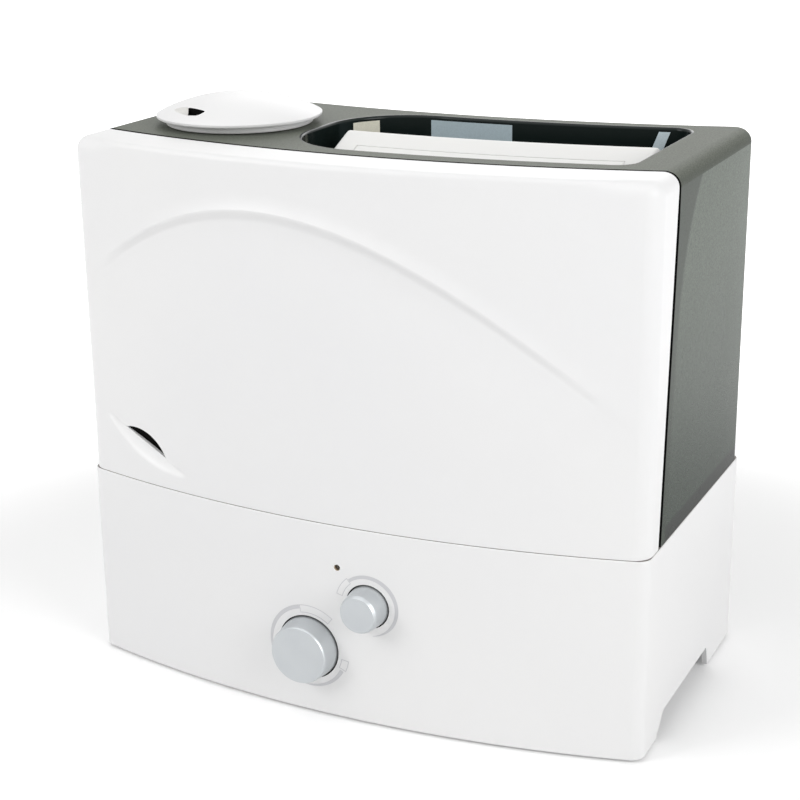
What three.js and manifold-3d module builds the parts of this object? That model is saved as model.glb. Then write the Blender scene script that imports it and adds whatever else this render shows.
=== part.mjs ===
import * as THREE from 'three';
import { mergeVertices } from 'three/addons/utils/BufferGeometryUtils.js';
import Module from 'manifold-3d';

// Cool mist humidifier with a lift-off water tank, in millimetres, +Z up, front towards -Y.
// The body is a slab bowed towards the front: its front is convex and its back is concave.
// Places are given as x across the width and as a depth behind the curved front face.

const wasm = await Module();
wasm.setup();

// Body
const bodyWidth = 340;
const bodyDepth = 176;
const bodyBulge = 22.4;
const cornerRadius = 8;
const baseHeight = 116;
const fullHeight = 311;
const touchGap = 0.3;
const arcSteps = 16;

// How far a cutting shape runs past what it cuts.
const overrun = 20;

// Base housing
const housingWall = 3;
const skirtLift = 1.5;
const gripNotchTop = 14.5;
const gripNotchStart = 48.4;
const gripNotchLength = 97;
const frontFootRun = 12;
const frontFootStep = 5;
const backFootRun = 5;
const notchSteps = 6;
const bossRadius = 5;
const bossBite = 1;
const bossFromCorner = 24;
const pilotRadius = 1.6;
const pilotDepth = 16;
const ventCount = 8;
const ventPitch = 7;
const ventWidth = 2.6;
const ventHeight = 24;
const ventBottom = 34;

// Bottom plate, feet and screws
const plateLift = 16;
const plateThickness = 2.5;
const footRadius = 9;
const footThickness = 2;
const footInset = 34;
const intakeSlotCount = 7;
const intakeSlotPitch = 7;
const intakeSlotWidth = 3.4;
const screwShaftRadius = 1.3;
const screwShaftLength = 15;
const screwHeadRadius = 3.6;
const screwHeadHeight = 2.2;
const screwHoleRadius = 2;

// Water tray
const deckDrop = 12;
const deckThickness = 2.5;
const basinWall = 2.5;
const basinDepth = 24;
const basinWidth = 64;
const basinPastValve = 34;
const chamberRadius = 38;
const chamberDepth = 42;
const chamberTopDrop = 2;
const chamberWeirDepth = 6;
const chamberFlangeWidth = 3;
const chamberFlangeThickness = 1.5;
const airWindowWidth = 24;
const airWindowHeight = 4;
const airWindowDrop = 1.6;

// Transducer
const transducerHoleRadius = 9;
const gasketRadius = 14;
const gasketHeight = 4;
const gasketLip = 1.5;
const discRadius = 10;
const discThickness = 1.2;
const clampRadius = 22.5;
const clampDepth = 30;
const clampThickness = 1.5;
const clampScrewCircle = 18.5;
const clampBossRadius = 3.2;
const clampPilotRadius = 1.3;
const clampScrewRadius = 1;
const clampScrewHeadRadius = 2.4;
const clampScrewHeadHeight = 1.6;

// Fan and duct
const fanSize = 60;
const fanDepth = 15;
const fanBoreRadius = 28;
const fanHubRadius = 12;
const fanTipClearance = 1;
const fanBladeCount = 7;
const fanBladeThickness = 1.6;
const fanBladePitch = 38;
const fanAxleRadius = 1.5;
const fanFromBack = 42;
const plenumHeight = 11;
const ductWidth = 34;
const ductDepth = 18;
const ductWall = 1.5;

// Electrics
const boardWidth = 90;
const boardDepth = 56;
const boardThickness = 1.6;
const boardFromSide = 128;
const boardFromBack = 48;
const standoffRadius = 3;
const standoffHeight = 8;
const standoffInset = 5;
const partFromEnd = 15;
const partFromMiddle = 13;
const chipWidth = 20;
const chipDepth = 9;
const chipHeight = 4;
const relaySide = 12;
const relayHeight = 9;
const connectorWidth = 14;
const connectorDepth = 8;
const connectorHeight = 10;
const capacitorRadius = 6;
const capacitorHeight = 18;
const chokeRadius = 4;
const chokeHeight = 12;
const sinkWidth = 34;
const sinkDepth = 16;
const sinkHeight = 22;
const sinkSole = 3;
const sinkFinCount = 5;
const sinkFinThickness = 1.4;
const sinkAhead = 4;
const coreWidth = 44;
const coreHeight = 36;
const coreDepth = 20;
const coilDepth = 42;
const coilMargin = 7;
const transformerFromSide = 46;
const transformerFromBack = 70;

// Power inlet in the back wall
const inletFromSide = 58;
const inletHeight = 38;
const inletWidth = 24;
const inletTall = 16;
const inletLength = 20;
const inletLip = 2.5;
const inletLipThickness = 1.2;
const inletLipGap = 0.5;
const socketWidth = 17;
const socketTall = 9;
const socketDepth = 13;
const inletPinRadius = 1.2;
const inletPinSpacing = 8.6;
const inletPinRecess = 3;

// Controls on the front
const mistKnobX = -16.4;
const mistKnobHeight = 40.6;
const mistKnobRadius = 18;
const humidityKnobX = 20.5;
const humidityKnobDrop = 44.1;
const humidityKnobRadius = 12;
const knobProud = 12.5;
const knobDraft = 1.2;
const knobSink = 2;
const knobChamfer = 1;
const knobFaceRecess = 0.5;
const knobGap = 0.7;
const shaftRadius = 3;
const shaftIntoKnob = 9;
const shaftIntoControl = 7;
const controlFlangeMargin = 3.5;
const controlFlangeThickness = 2;
const controlRadius = 9.5;
const controlLength = 12;
const lightX = 2.7;
const lightDrop = 24.2;
const lightRadius = 1.65;
const lightFlangeRadius = 3;
const lightLength = 7;

// Water level float
const floatFromNozzle = 79;
const floatRadius = 12;
const floatHeight = 10;
const floatPostRadius = 3;
const floatPostDrop = 2;
const floatCapRadius = 5.5;
const floatCapThickness = 1.6;

// Tank
const tankInset = 0.5;
const panelWall = 2.2;
const tankWall = 2.3;
const topRadius = 10;
const topRadiusSteps = 3;
const panelLedge = 28;
const panelSideBottom = 17;
const panelSideSlopeTop = 295;
const floorThickness = 3;

// Crescent water window in the front panel
const windowX = -125.5;
const windowHeight = 140.5;
const windowLength = 31.4;
const windowOuterBow = 6.2;
const windowInnerBow = 0.8;
const windowTilt = -22.6;

// Raised brow that arches across the front panel
const browLeft = [-162, 234];
const browLeftPull = [-48, 335];
const browRightPull = [65, 264];
const browRight = [166, 185];
const browWidth = 22;
const browThickness = 0.9;
const browSteps = 16;

// Mist chimney and nozzle
const nozzleFromSide = 65;
const chimneyRadius = 27;
const chimneyWall = 2.5;
const mistSpigotDepth = 8;
const collarRadius = 42;
const collarThickness = 3.6;
const spigotDepth = 11;
const spigotWall = 2;
const capRadius = 47.3;
const capEdge = 2.2;
const capCrown = 11;
const capWall = 2.4;
const capSkirtWall = 1.8;
const capSkirtDepth = 7;
const nozzleSides = 32;
const mistHoleX = -10;
const mistHoleY = -30;
const mistHoleRadius = 8;
const mistHoleTurn = -135;
const skirtWindowWidth = 18;
const skirtWindowHeight = 5;

// Handle well in the top of the tank
const wellFromNozzle = 51;
const wellFromSide = 28;
const wellFrontDepth = 44;
const wellBackMargin = 18;
const wellDepth = 38;
const wellWall = 2.5;
const wellFrontLeftRadius = 45;
const wellFrontRightRadius = 12;
const wellBackRightRadius = 12;
const wellBackLeftRadius = 45;
const wellCornerSteps = 8;

// Fold-up handle
const gripLeftGap = 11;
const gripRightGap = 5;
const gripRearDepth = 111;
const gripBandWidth = 8.5;
const gripFrontDepth = 81;
const gripTopDrop = 1;
const gripBandDrop = 3.4;
const gripSlope = 23;
const gripRearHeight = 15;
const gripFrontHeight = 8;
const coverSetback = 8;
const coverMargin = 14;
const coverThickness = 1.6;
const armThickness = 6;
const pivotDepth = 66;
const leftArmInset = 8;
const pivotAboveWellFloor = 11;
const pivotBossRadius = 6;
const pinRadius = 2.5;
const pinHeadRadius = 4.5;
const pinEndGap = 0.6;

// Filling neck, cap and valve
const valveFromNozzle = 145;
const neckRadius = 22;
const neckWall = 2.5;
const neckLength = 13;
const capSideWall = 3.4;
const capFloorThickness = 2.6;
const capGripCount = 12;
const capGripDepth = 1.2;
const sealThickness = 2.7;
const valveHoleRadius = 5;
const valveStemRadius = 2;
const valveStemBelow = 11;
const valveFlangeRadius = 7.5;
const valveFlangeThickness = 1.5;
const valveSealRadius = 8;
const valveSealThickness = 1.3;
const valveStemAbove = 1.5;
const valvePostRadius = 3;
const cageHeight = 13;
const cageRingRadius = 14;
const cageRingThickness = 2;
const cageLegSize = 3;
const springRadius = 4.6;
const springWire = 0.7;
const springTurns = 3;
const springStepsPerTurn = 10;

// ---- solids ----

function solidFrom(geometry) {
  const bare = geometry.index ? geometry.toNonIndexed() : geometry.clone();
  bare.deleteAttribute('normal');
  bare.deleteAttribute('uv');
  const merged = mergeVertices(bare, 1e-4);
  const vertProperties = Float32Array.from(merged.attributes.position.array);
  const triVerts = Uint32Array.from(merged.index.array);
  return new wasm.Manifold(new wasm.Mesh({ numProp: 3, vertProperties, triVerts }));
}

function geometryFrom(solid) {
  const mesh = solid.getMesh();
  const geometry = new THREE.BufferGeometry();
  geometry.setAttribute('position', new THREE.BufferAttribute(mesh.vertProperties, 3));
  geometry.setIndex(new THREE.BufferAttribute(mesh.triVerts, 1));
  geometry.computeVertexNormals();
  return geometry;
}

function joined(...solids) {
  return solids.reduce((whole, solid) => whole.add(solid));
}

function cut(solid, ...tools) {
  return tools.reduce((rest, tool) => rest.subtract(tool), solid);
}

// Angles are in radians, counter-clockwise, and steps is the number of straight pieces.
function arcPoints(x, y, radius, from, to, steps) {
  return Array.from({ length: steps + 1 }, (_, i) => {
    const angle = from + ((to - from) * i) / steps;
    return new THREE.Vector2(x + radius * Math.cos(angle), y + radius * Math.sin(angle));
  });
}

function upright(points, low, high) {
  const settings = { depth: high - low, bevelEnabled: false };
  return solidFrom(new THREE.ExtrudeGeometry(new THREE.Shape(points), settings).translate(0, 0, low));
}

const turnAlongX = new THREE.Matrix4().makeBasis(
  new THREE.Vector3(0, 1, 0),
  new THREE.Vector3(0, 0, 1),
  new THREE.Vector3(1, 0, 0),
);

// A profile of (y, z) points, extruded along +X.
function alongX(points, from, to) {
  const settings = { depth: to - from, bevelEnabled: false };
  const geometry = new THREE.ExtrudeGeometry(new THREE.Shape(points), settings).translate(0, 0, from);
  return solidFrom(geometry.applyMatrix4(turnAlongX));
}

// A profile of (x, z) points, extruded along Y.
function alongY(points, from, to) {
  const settings = { depth: to - from, bevelEnabled: false };
  const geometry = new THREE.ExtrudeGeometry(new THREE.Shape(points), settings);
  return solidFrom(geometry.rotateX(Math.PI / 2).translate(0, to, 0));
}

function box(low, high) {
  const size = high.map((value, axis) => value - low[axis]);
  const middle = high.map((value, axis) => (value + low[axis]) / 2);
  return solidFrom(new THREE.BoxGeometry(...size).translate(...middle));
}

function post(x, y, low, high, radius, sides = 20) {
  const geometry = new THREE.CylinderGeometry(radius, radius, high - low, sides);
  return solidFrom(geometry.rotateX(Math.PI / 2).translate(x, y, (low + high) / 2));
}

function ring(x, y, low, high, outer, inner, sides = 28) {
  return cut(post(x, y, low, high, outer, sides), post(x, y, low - 1, high + 1, inner, sides));
}

function rodAlongY(x, z, from, to, radius, sides = 24) {
  const geometry = new THREE.CylinderGeometry(radius, radius, to - from, sides);
  return solidFrom(geometry.translate(x, (from + to) / 2, z));
}

function rodAlongX(y, z, from, to, radius, sides = 20) {
  const geometry = new THREE.CylinderGeometry(radius, radius, to - from, sides);
  return solidFrom(geometry.rotateZ(Math.PI / 2).translate((from + to) / 2, y, z));
}

// A profile of [radius, height] pairs, listed upwards on its outside, turned about the Z axis.
function turned(profile, sides = 40) {
  const points = profile.map(([radius, height]) => new THREE.Vector2(radius, height));
  return solidFrom(new THREE.LatheGeometry(points, sides).rotateX(Math.PI / 2));
}

// ---- the curved body ----

const curveRadius = (bodyWidth ** 2 / 4 + bodyBulge ** 2) / (2 * bodyBulge);
const frontCentreY = curveRadius - bodyBulge;
const backCentreY = frontCentreY + bodyDepth;

function frontY(x, inset = 0) {
  return frontCentreY - Math.sqrt((curveRadius - inset) ** 2 - x ** 2);
}

function backY(x, inset = 0) {
  return backCentreY - Math.sqrt((curveRadius + inset) ** 2 - x ** 2);
}

// The closed outline of the body in plan, set in from its sides, front and back.
function bodyOutline(inset, radius = Math.max(cornerRadius - inset, 2)) {
  const reach = bodyWidth / 2 - inset - radius;
  const front = curveRadius - inset;
  const back = curveRadius + inset;
  const frontLean = Math.asin(reach / (front - radius));
  const backLean = Math.asin(reach / (back + radius));
  const cornerFrontY = frontCentreY - Math.sqrt((front - radius) ** 2 - reach ** 2);
  const cornerBackY = backCentreY - Math.sqrt((back + radius) ** 2 - reach ** 2);
  const quarter = Math.PI / 2;
  return [
    ...arcPoints(0, frontCentreY, front, -quarter - frontLean, -quarter + frontLean, arcSteps),
    ...arcPoints(reach, cornerFrontY, radius, -quarter + frontLean, 0, 4).slice(1),
    ...arcPoints(reach, cornerBackY, radius, 0, quarter + backLean, 5),
    ...arcPoints(0, backCentreY, back, -quarter + backLean, -quarter - backLean, arcSteps).slice(1),
    ...arcPoints(-reach, cornerBackY, radius, quarter - backLean, Math.PI, 5).slice(1),
    ...arcPoints(-reach, cornerFrontY, radius, Math.PI, 3 * quarter - frontLean, 4).slice(0, -1),
  ];
}

function bodyBlock(inset, low, high) {
  return upright(bodyOutline(inset), low, high);
}

function edgeRadius(inset) {
  return Math.max(topRadius - inset, 1);
}

// A corner of the tank is never tighter than the rounding of its upper edge.
function tankCornerRadius(inset) {
  return Math.max(cornerRadius - inset, edgeRadius(inset) + 1);
}

// The body with its upper edge rounded, set in on every side and at the top.
function roundedBody(inset, low) {
  const radius = edgeRadius(inset);
  const top = fullHeight - (inset - tankInset);
  const settings = {
    depth: top - low,
    bevelThickness: radius,
    bevelSize: radius,
    bevelOffset: -radius,
    bevelSegments: topRadiusSteps,
  };
  const shape = new THREE.Shape(bodyOutline(inset, tankCornerRadius(inset)));
  const whole = solidFrom(new THREE.ExtrudeGeometry(shape, settings).translate(0, 0, low - radius));
  return whole.intersect(bodyBlock(-bodyDepth / 4, low, top));
}

// A profile of [depth behind the front, height] pairs, extruded along X and bowed with the front.
function bowedAlongX(profile, fromX, toX) {
  const shape = new THREE.Shape(profile.map(([depth, height]) => new THREE.Vector2(depth, height)));
  const settings = { depth: toX - fromX, steps: arcSteps, bevelEnabled: false };
  const straight = new THREE.ExtrudeGeometry(shape, settings).translate(0, 0, fromX);
  const geometry = straight.applyMatrix4(turnAlongX);
  const places = geometry.attributes.position;
  for (let i = 0; i < places.count; i += 1) {
    places.setY(i, places.getY(i) + frontY(places.getX(i)));
  }
  return solidFrom(geometry);
}

// ---- shared places ----

const wallInside = housingWall + touchGap;
const plateTop = plateLift + plateThickness;
const nozzleX = nozzleFromSide - bodyWidth / 2;
const nozzleY = frontY(nozzleX) + bodyDepth / 2;
const fanY = backY(nozzleX) - fanFromBack;
const fanLow = plateTop + touchGap;
const fanHigh = fanLow + fanDepth;
const valveX = nozzleX + valveFromNozzle;
const valveY = frontY(valveX) + bodyDepth / 2;
const floatX = nozzleX + floatFromNozzle;
const floatY = frontY(floatX) + bodyDepth / 2;
const deckHeight = baseHeight - deckDrop;
const basinFloorHeight = deckHeight - basinDepth;
const chamberFloorHeight = deckHeight - chamberDepth;
const chamberTop = baseHeight - chamberTopDrop;
const inletX = bodyWidth / 2 - inletFromSide;
const humidityKnobHeight = baseHeight - humidityKnobDrop;
const lightHeight = baseHeight - lightDrop;
const tankLow = baseHeight + touchGap;
const innerFaceInset = tankInset + panelWall + touchGap;
const cavityInset = innerFaceInset + tankWall;
const bossX = bodyWidth / 2 - housingWall - bossRadius + bossBite;
const bossPlaces = [-1, 1].flatMap((side) => [
  [side * bossX, frontY(bossX) + bossFromCorner],
  [side * bossX, backY(bossX) - bossFromCorner],
]);
const footX = bodyWidth / 2 - footInset;
const footPlaces = [-1, 1].flatMap((side) => [
  [side * footX, frontY(footX) + footInset],
  [side * footX, backY(footX) - footInset],
]);

// ---- base housing ----

// The side walls are cut away between the front and back feet, with an S-shaped rise at each end.
function gripNotch() {
  const start = frontY(0) + gripNotchStart;
  const end = start + gripNotchLength;
  const rise = (from, to, low, high) =>
    Array.from({ length: notchSteps + 1 }, (_, i) => {
      const share = i / notchSteps;
      const eased = share * share * (3 - 2 * share);
      return new THREE.Vector2(from + (to - from) * share, low + (high - low) * eased);
    });
  const outline = [
    new THREE.Vector2(start, -1),
    new THREE.Vector2(end, -1),
    ...rise(end, end - backFootRun, skirtLift, gripNotchTop),
    ...rise(start + frontFootRun, start, gripNotchTop, frontFootStep),
  ];
  return alongX(outline, -bodyWidth, bodyWidth);
}

function backVents() {
  return Array.from({ length: ventCount }, (_, i) => {
    const x = nozzleX + (i - (ventCount - 1) / 2) * ventPitch;
    const low = [x - ventWidth / 2, backY(x) - 2 * housingWall, ventBottom];
    const high = [x + ventWidth / 2, backY(x) + 2 * housingWall, ventBottom + ventHeight];
    return box(low, high);
  });
}

function frontHole(x, z, radius) {
  return rodAlongY(x, z, frontY(x) - 2, frontY(x) + 2 * housingWall, radius, 32);
}

function onBackWall(solid, x, z) {
  const lean = (Math.asin(x / curveRadius) * 180) / Math.PI;
  return solid.rotate([0, 0, lean]).translate([x, backY(x), z]);
}

function inletBlock(margin, from, to) {
  const half = inletWidth / 2 + margin;
  const tall = inletTall / 2 + margin;
  return box([-half, from, -tall], [half, to, tall]);
}

function makeHousing() {
  const wall = cut(
    bodyBlock(0, skirtLift, baseHeight),
    bodyBlock(housingWall, skirtLift - 1, baseHeight + 1),
  );
  const bosses = bossPlaces.map(([x, y]) =>
    post(x, y, plateTop + touchGap, deckHeight - touchGap, bossRadius, 16),
  );
  const pilots = bossPlaces.map(([x, y]) => post(x, y, plateLift, plateTop + pilotDepth, pilotRadius, 12));
  return cut(
    joined(wall, ...bosses),
    ...pilots,
    gripNotch(),
    ...backVents(),
    frontHole(mistKnobX, mistKnobHeight, mistKnobRadius + knobGap),
    frontHole(humidityKnobX, humidityKnobHeight, humidityKnobRadius + knobGap),
    frontHole(lightX, lightHeight, lightRadius),
    onBackWall(inletBlock(touchGap, -2 * housingWall, 2 * housingWall), inletX, inletHeight),
  );
}

// ---- bottom plate, feet and screws ----

function intakeSlots() {
  const half = fanBoreRadius - intakeSlotWidth;
  return Array.from({ length: intakeSlotCount }, (_, i) => {
    const x = nozzleX + (i - (intakeSlotCount - 1) / 2) * intakeSlotPitch;
    const low = [x - intakeSlotWidth / 2, fanY - half, plateLift - 1];
    return box(low, [x + intakeSlotWidth / 2, fanY + half, plateTop + 1]);
  });
}

const boardX = bodyWidth / 2 - boardFromSide;
const boardY = backY(boardX) - boardFromBack;
const standoffPlaces = [-1, 1].flatMap((across) =>
  [-1, 1].map((along) => [
    boardX + across * (boardWidth / 2 - standoffInset),
    boardY + along * (boardDepth / 2 - standoffInset),
  ]),
);

function makeBottomPlate() {
  const feet = footPlaces.map(([x, y]) => post(x, y, footThickness + touchGap, plateTop, footRadius));
  const standoffs = standoffPlaces.map(([x, y]) =>
    post(x, y, plateLift, plateTop + standoffHeight, standoffRadius, 12),
  );
  const holes = bossPlaces.map(([x, y]) => post(x, y, plateLift - 1, plateTop + 1, screwHoleRadius, 16));
  const plate = joined(bodyBlock(wallInside, plateLift, plateTop), ...feet, ...standoffs);
  return cut(plate, ...holes, ...intakeSlots());
}

function makeFoot([x, y]) {
  return post(x, y, 0, footThickness, footRadius);
}

function makeScrew(x, y, seat, length) {
  const head = post(x, y, seat - screwHeadHeight, seat, screwHeadRadius, 16);
  return joined(head, post(x, y, seat - 1, seat + length, screwShaftRadius, 10));
}

// ---- transducer under the mist chamber ----

const gasketTop = chamberFloorHeight - basinWall - touchGap;
const discTop = gasketTop - (gasketHeight - discThickness) / 2;
const clampTop = gasketTop - gasketHeight - touchGap;
const clampScrewPlaces = [-1, 1].map((side) => [nozzleX + side * clampScrewCircle, nozzleY]);

function makeGasket() {
  const mouth = discRadius - gasketLip;
  const body = ring(nozzleX, nozzleY, gasketTop - gasketHeight, gasketTop, gasketRadius, mouth);
  const grooveLow = discTop - discThickness - touchGap;
  const groove = post(nozzleX, nozzleY, grooveLow, discTop + touchGap, discRadius + touchGap, 28);
  return cut(body, groove);
}

function makeDisc() {
  return post(nozzleX, nozzleY, discTop - discThickness, discTop, discRadius, 24);
}

function makeClamp() {
  const low = clampTop - clampThickness;
  const round = ring(nozzleX, nozzleY, low, clampTop, clampRadius, discRadius - 2.5);
  const strap = box(
    [nozzleX - clampRadius - 1, nozzleY - clampDepth / 2, low - 1],
    [nozzleX + clampRadius + 1, nozzleY + clampDepth / 2, clampTop + 1],
  );
  const holeRadius = clampScrewRadius + 2 * touchGap;
  const holes = clampScrewPlaces.map(([x, y]) => post(x, y, clampTop - 9, clampTop + 9, holeRadius, 12));
  return cut(round.intersect(strap), ...holes);
}

function makeClampScrew([x, y]) {
  const seat = clampTop - clampThickness - touchGap;
  const head = post(x, y, seat - clampScrewHeadHeight, seat, clampScrewHeadRadius, 16);
  return joined(head, post(x, y, seat - 1, gasketTop, clampScrewRadius, 10));
}

// ---- water tray ----

const basinLeft = nozzleX + chamberRadius / 2;
const ductY = nozzleY + chamberRadius + basinWall + touchGap + ductDepth / 2;

function basinBlock(margin, low, high) {
  const middle = (valveY + nozzleY) / 2;
  const half = basinWidth / 2 + margin;
  return box([basinLeft, middle - half, low], [valveX + basinPastValve + margin, middle + half, high]);
}

function ductBlock(margin, low, high) {
  const half = ductWidth / 2 + margin;
  const deep = ductDepth / 2 + margin;
  return box([nozzleX - half, ductY - deep, low], [nozzleX + half, ductY + deep, high]);
}

function airWindow() {
  const top = chamberTop - airWindowDrop;
  const half = airWindowWidth / 2;
  const low = [nozzleX - half, nozzleY + chamberRadius / 2, top - airWindowHeight];
  return box(low, [nozzleX + half, ductY, top]);
}

const valveStemLow = tankLow - neckLength - touchGap - sealThickness - touchGap - valveStemBelow;

const deckTop = deckHeight + deckThickness;
const cupRadius = chamberRadius + basinWall;

function makeTray() {
  const outside = joined(
    bodyBlock(wallInside, deckHeight, deckTop),
    basinBlock(basinWall, basinFloorHeight - basinWall, deckTop),
  );
  const bed = basinFloorHeight - 1;
  return cut(
    joined(
      cut(outside, basinBlock(0, basinFloorHeight, deckTop + 1)),
      post(valveX, valveY, bed, valveStemLow - touchGap, valvePostRadius, 16),
      post(floatX, floatY, bed, deckHeight - floatPostDrop, floatPostRadius, 16),
    ),
    post(nozzleX, nozzleY, chamberFloorHeight, deckTop + 1, cupRadius + touchGap, 32),
    ductBlock(touchGap, deckHeight - 1, deckTop + 1),
  );
}

// The mist chamber is a cup that hangs in the tray by its flange and is open to the basin at one side.
function makeCup() {
  const low = chamberFloorHeight - basinWall;
  const flangeLow = deckTop + touchGap;
  const flangeTop = flangeLow + chamberFlangeThickness;
  const flange = post(nozzleX, nozzleY, flangeLow, flangeTop, cupRadius + chamberFlangeWidth, 32);
  const bosses = clampScrewPlaces.map(([x, y]) =>
    post(x, y, clampTop + touchGap, low + 1, clampBossRadius, 16),
  );
  const pilots = clampScrewPlaces.map(([x, y]) =>
    post(x, y, clampTop - 1, gasketTop + touchGap, clampPilotRadius, 12),
  );
  return cut(
    joined(
      post(nozzleX, nozzleY, low, chamberTop, cupRadius, 32),
      cut(flange, ductBlock(touchGap, flangeLow - 1, flangeTop + 1)),
      ...bosses,
    ),
    post(nozzleX, nozzleY, chamberFloorHeight, chamberTop + 1, chamberRadius, 32),
    post(nozzleX, nozzleY, low - 1, chamberFloorHeight + 1, transducerHoleRadius),
    basinBlock(0, basinFloorHeight, deckHeight - chamberWeirDepth),
    airWindow(),
    ...pilots,
  );
}

// ---- fan, plenum and duct ----

const plenumLow = fanHigh + touchGap;
const plenumTop = plenumLow + plenumHeight;

function fanSquare(margin, low, high) {
  const half = fanSize / 2 + margin;
  return box([nozzleX - half, fanY - half, low], [nozzleX + half, fanY + half, high]);
}

function makeFanFrame() {
  const bore = post(nozzleX, fanY, fanLow - 1, fanHigh + 1, fanBoreRadius, 32);
  const frame = cut(fanSquare(0, fanLow, fanHigh), bore);
  const strutHeight = 2;
  const struts = Array.from({ length: 3 }, (_, i) =>
    box([0, -1.5, fanLow], [fanBoreRadius + 1, 1.5, fanLow + strutHeight])
      .rotate([0, 0, i * 120])
      .translate([nozzleX, fanY, 0]),
  );
  const hub = post(nozzleX, fanY, fanLow, fanLow + strutHeight + 1, fanHubRadius - 1, 24);
  const bearing = post(nozzleX, fanY, fanLow - 1, fanHigh, fanAxleRadius + touchGap, 12);
  return cut(joined(frame, ...struts, hub), bearing);
}

function makeImpeller() {
  const low = fanLow + 3 + touchGap;
  const high = fanHigh - 1;
  const reach = fanBoreRadius - fanTipClearance;
  const bladeHeight = (high - low) * 0.8;
  const bladeLow = [fanHubRadius - 2, -fanBladeThickness / 2, -bladeHeight / 2];
  const bladeHigh = [reach, fanBladeThickness / 2, bladeHeight / 2];
  const blades = Array.from({ length: fanBladeCount }, (_, i) =>
    box(bladeLow, bladeHigh)
      .rotate([fanBladePitch, 0, 0])
      .rotate([0, 0, (i * 360) / fanBladeCount])
      .translate([nozzleX, fanY, (low + high) / 2]),
  );
  const limits = post(nozzleX, fanY, low, high, reach, 36);
  const hub = post(nozzleX, fanY, low, high, fanHubRadius, 28);
  const axle = post(nozzleX, fanY, fanLow + touchGap, high - 1, fanAxleRadius, 12);
  return joined(joined(hub, ...blades).intersect(limits), axle);
}

function makeDuct() {
  const top = chamberTop;
  const outside = joined(fanSquare(0, plenumLow, plenumTop), ductBlock(0, plenumLow, top));
  const inside = joined(
    fanSquare(-ductWall, plenumLow - 1, plenumTop - ductWall),
    ductBlock(-ductWall, plenumLow, top - ductWall),
  );
  return cut(outside, inside, airWindow());
}

// ---- electrics ----

const boardLow = plateTop + standoffHeight + touchGap;
const boardHigh = boardLow + boardThickness;

function makeBoard() {
  const low = [boardX - boardWidth / 2, boardY - boardDepth / 2, boardLow];
  const board = box(low, [boardX + boardWidth / 2, boardY + boardDepth / 2, boardHigh]);
  const seat = boardLow + boardThickness / 2;
  const chip = (x, y, wide, deep, tall) =>
    box([x - wide / 2, y - deep / 2, seat], [x + wide / 2, y + deep / 2, boardHigh + tall]);
  const left = boardX - boardWidth / 2 + partFromEnd;
  const right = boardX + boardWidth / 2 - partFromEnd;
  const front = boardY - partFromMiddle;
  const back = boardY + partFromMiddle;
  return joined(
    board,
    chip(left, front, chipWidth, chipDepth, chipHeight),
    chip(left, back, relaySide, relaySide, relayHeight),
    chip(right, back, connectorWidth, connectorDepth, connectorHeight),
    post(right, front, seat, boardHigh + capacitorHeight, capacitorRadius, 20),
    post(boardX, back, seat, boardHigh + chokeHeight, chokeRadius, 16),
  );
}

function makeHeatSink() {
  const low = boardHigh + touchGap;
  const y = boardY - sinkAhead;
  const left = boardX - sinkWidth / 2;
  const front = y - sinkDepth / 2;
  const back = y + sinkDepth / 2;
  const sole = box([left, front, low], [left + sinkWidth, back, low + sinkSole]);
  const step = (sinkWidth - sinkFinThickness) / (sinkFinCount - 1);
  const fins = Array.from({ length: sinkFinCount }, (_, i) => {
    const x = left + i * step;
    return box([x, front, low + sinkSole / 2], [x + sinkFinThickness, back, low + sinkHeight]);
  });
  return joined(sole, ...fins);
}

function makeTransformer() {
  const transformerX = bodyWidth / 2 - transformerFromSide;
  const y = backY(transformerX) - transformerFromBack;
  const low = plateTop + touchGap;
  const core = box(
    [transformerX - coreWidth / 2, y - coreDepth / 2, low],
    [transformerX + coreWidth / 2, y + coreDepth / 2, low + coreHeight],
  );
  const coil = box(
    [transformerX - coreWidth / 2 + coilMargin, y - coilDepth / 2, low + coilMargin],
    [transformerX + coreWidth / 2 - coilMargin, y + coilDepth / 2, low + coreHeight - coilMargin],
  );
  return joined(core, coil);
}

function makeInlet() {
  const body = inletBlock(0, -inletLength, 1);
  const lip = inletBlock(inletLip, inletLipGap, inletLipGap + inletLipThickness);
  const halfWidth = socketWidth / 2 - socketTall / 2;
  const slotTop = inletLipGap + inletLipThickness;
  const slotEnd = slotTop - socketDepth;
  const socket = joined(
    box([-halfWidth, slotEnd, -socketTall / 2], [halfWidth, slotTop + 1, socketTall / 2]),
    ...[-1, 1].map((side) => rodAlongY(side * halfWidth, 0, slotEnd, slotTop + 1, socketTall / 2)),
  );
  const pins = [-1, 1].map((side) =>
    rodAlongY((side * inletPinSpacing) / 2, 0, slotEnd - 1, slotTop - inletPinRecess, inletPinRadius, 12),
  );
  return onBackWall(joined(cut(joined(body, lip), socket), ...pins), inletX, inletHeight);
}

// ---- controls ----

function knobProfile(radius) {
  const face = radius - knobDraft;
  return [
    [0, -knobSink],
    [radius, -knobSink],
    [radius, 0],
    [face, knobProud - knobChamfer],
    [face - knobChamfer, knobProud],
    [face - 2 * knobChamfer, knobProud],
    [face - 2.6 * knobChamfer, knobProud - knobFaceRecess],
    [0, knobProud - knobFaceRecess],
  ];
}

function makeKnob(x, z, radius) {
  const seat = frontY(x);
  const body = turned(knobProfile(radius), 36).rotate([90, 0, 0]).translate([x, seat, z]);
  const boreDepth = shaftIntoKnob - knobSink + touchGap;
  return cut(body, rodAlongY(x, z, seat - boreDepth, seat + knobSink + 1, shaftRadius + touchGap));
}

// The flat flange bears on the hollow side of the wall at the edge that comes first.
function controlFace(x, radius) {
  const edge = Math.abs(x) + radius + controlFlangeMargin;
  return frontY(edge, housingWall) + touchGap;
}

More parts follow.
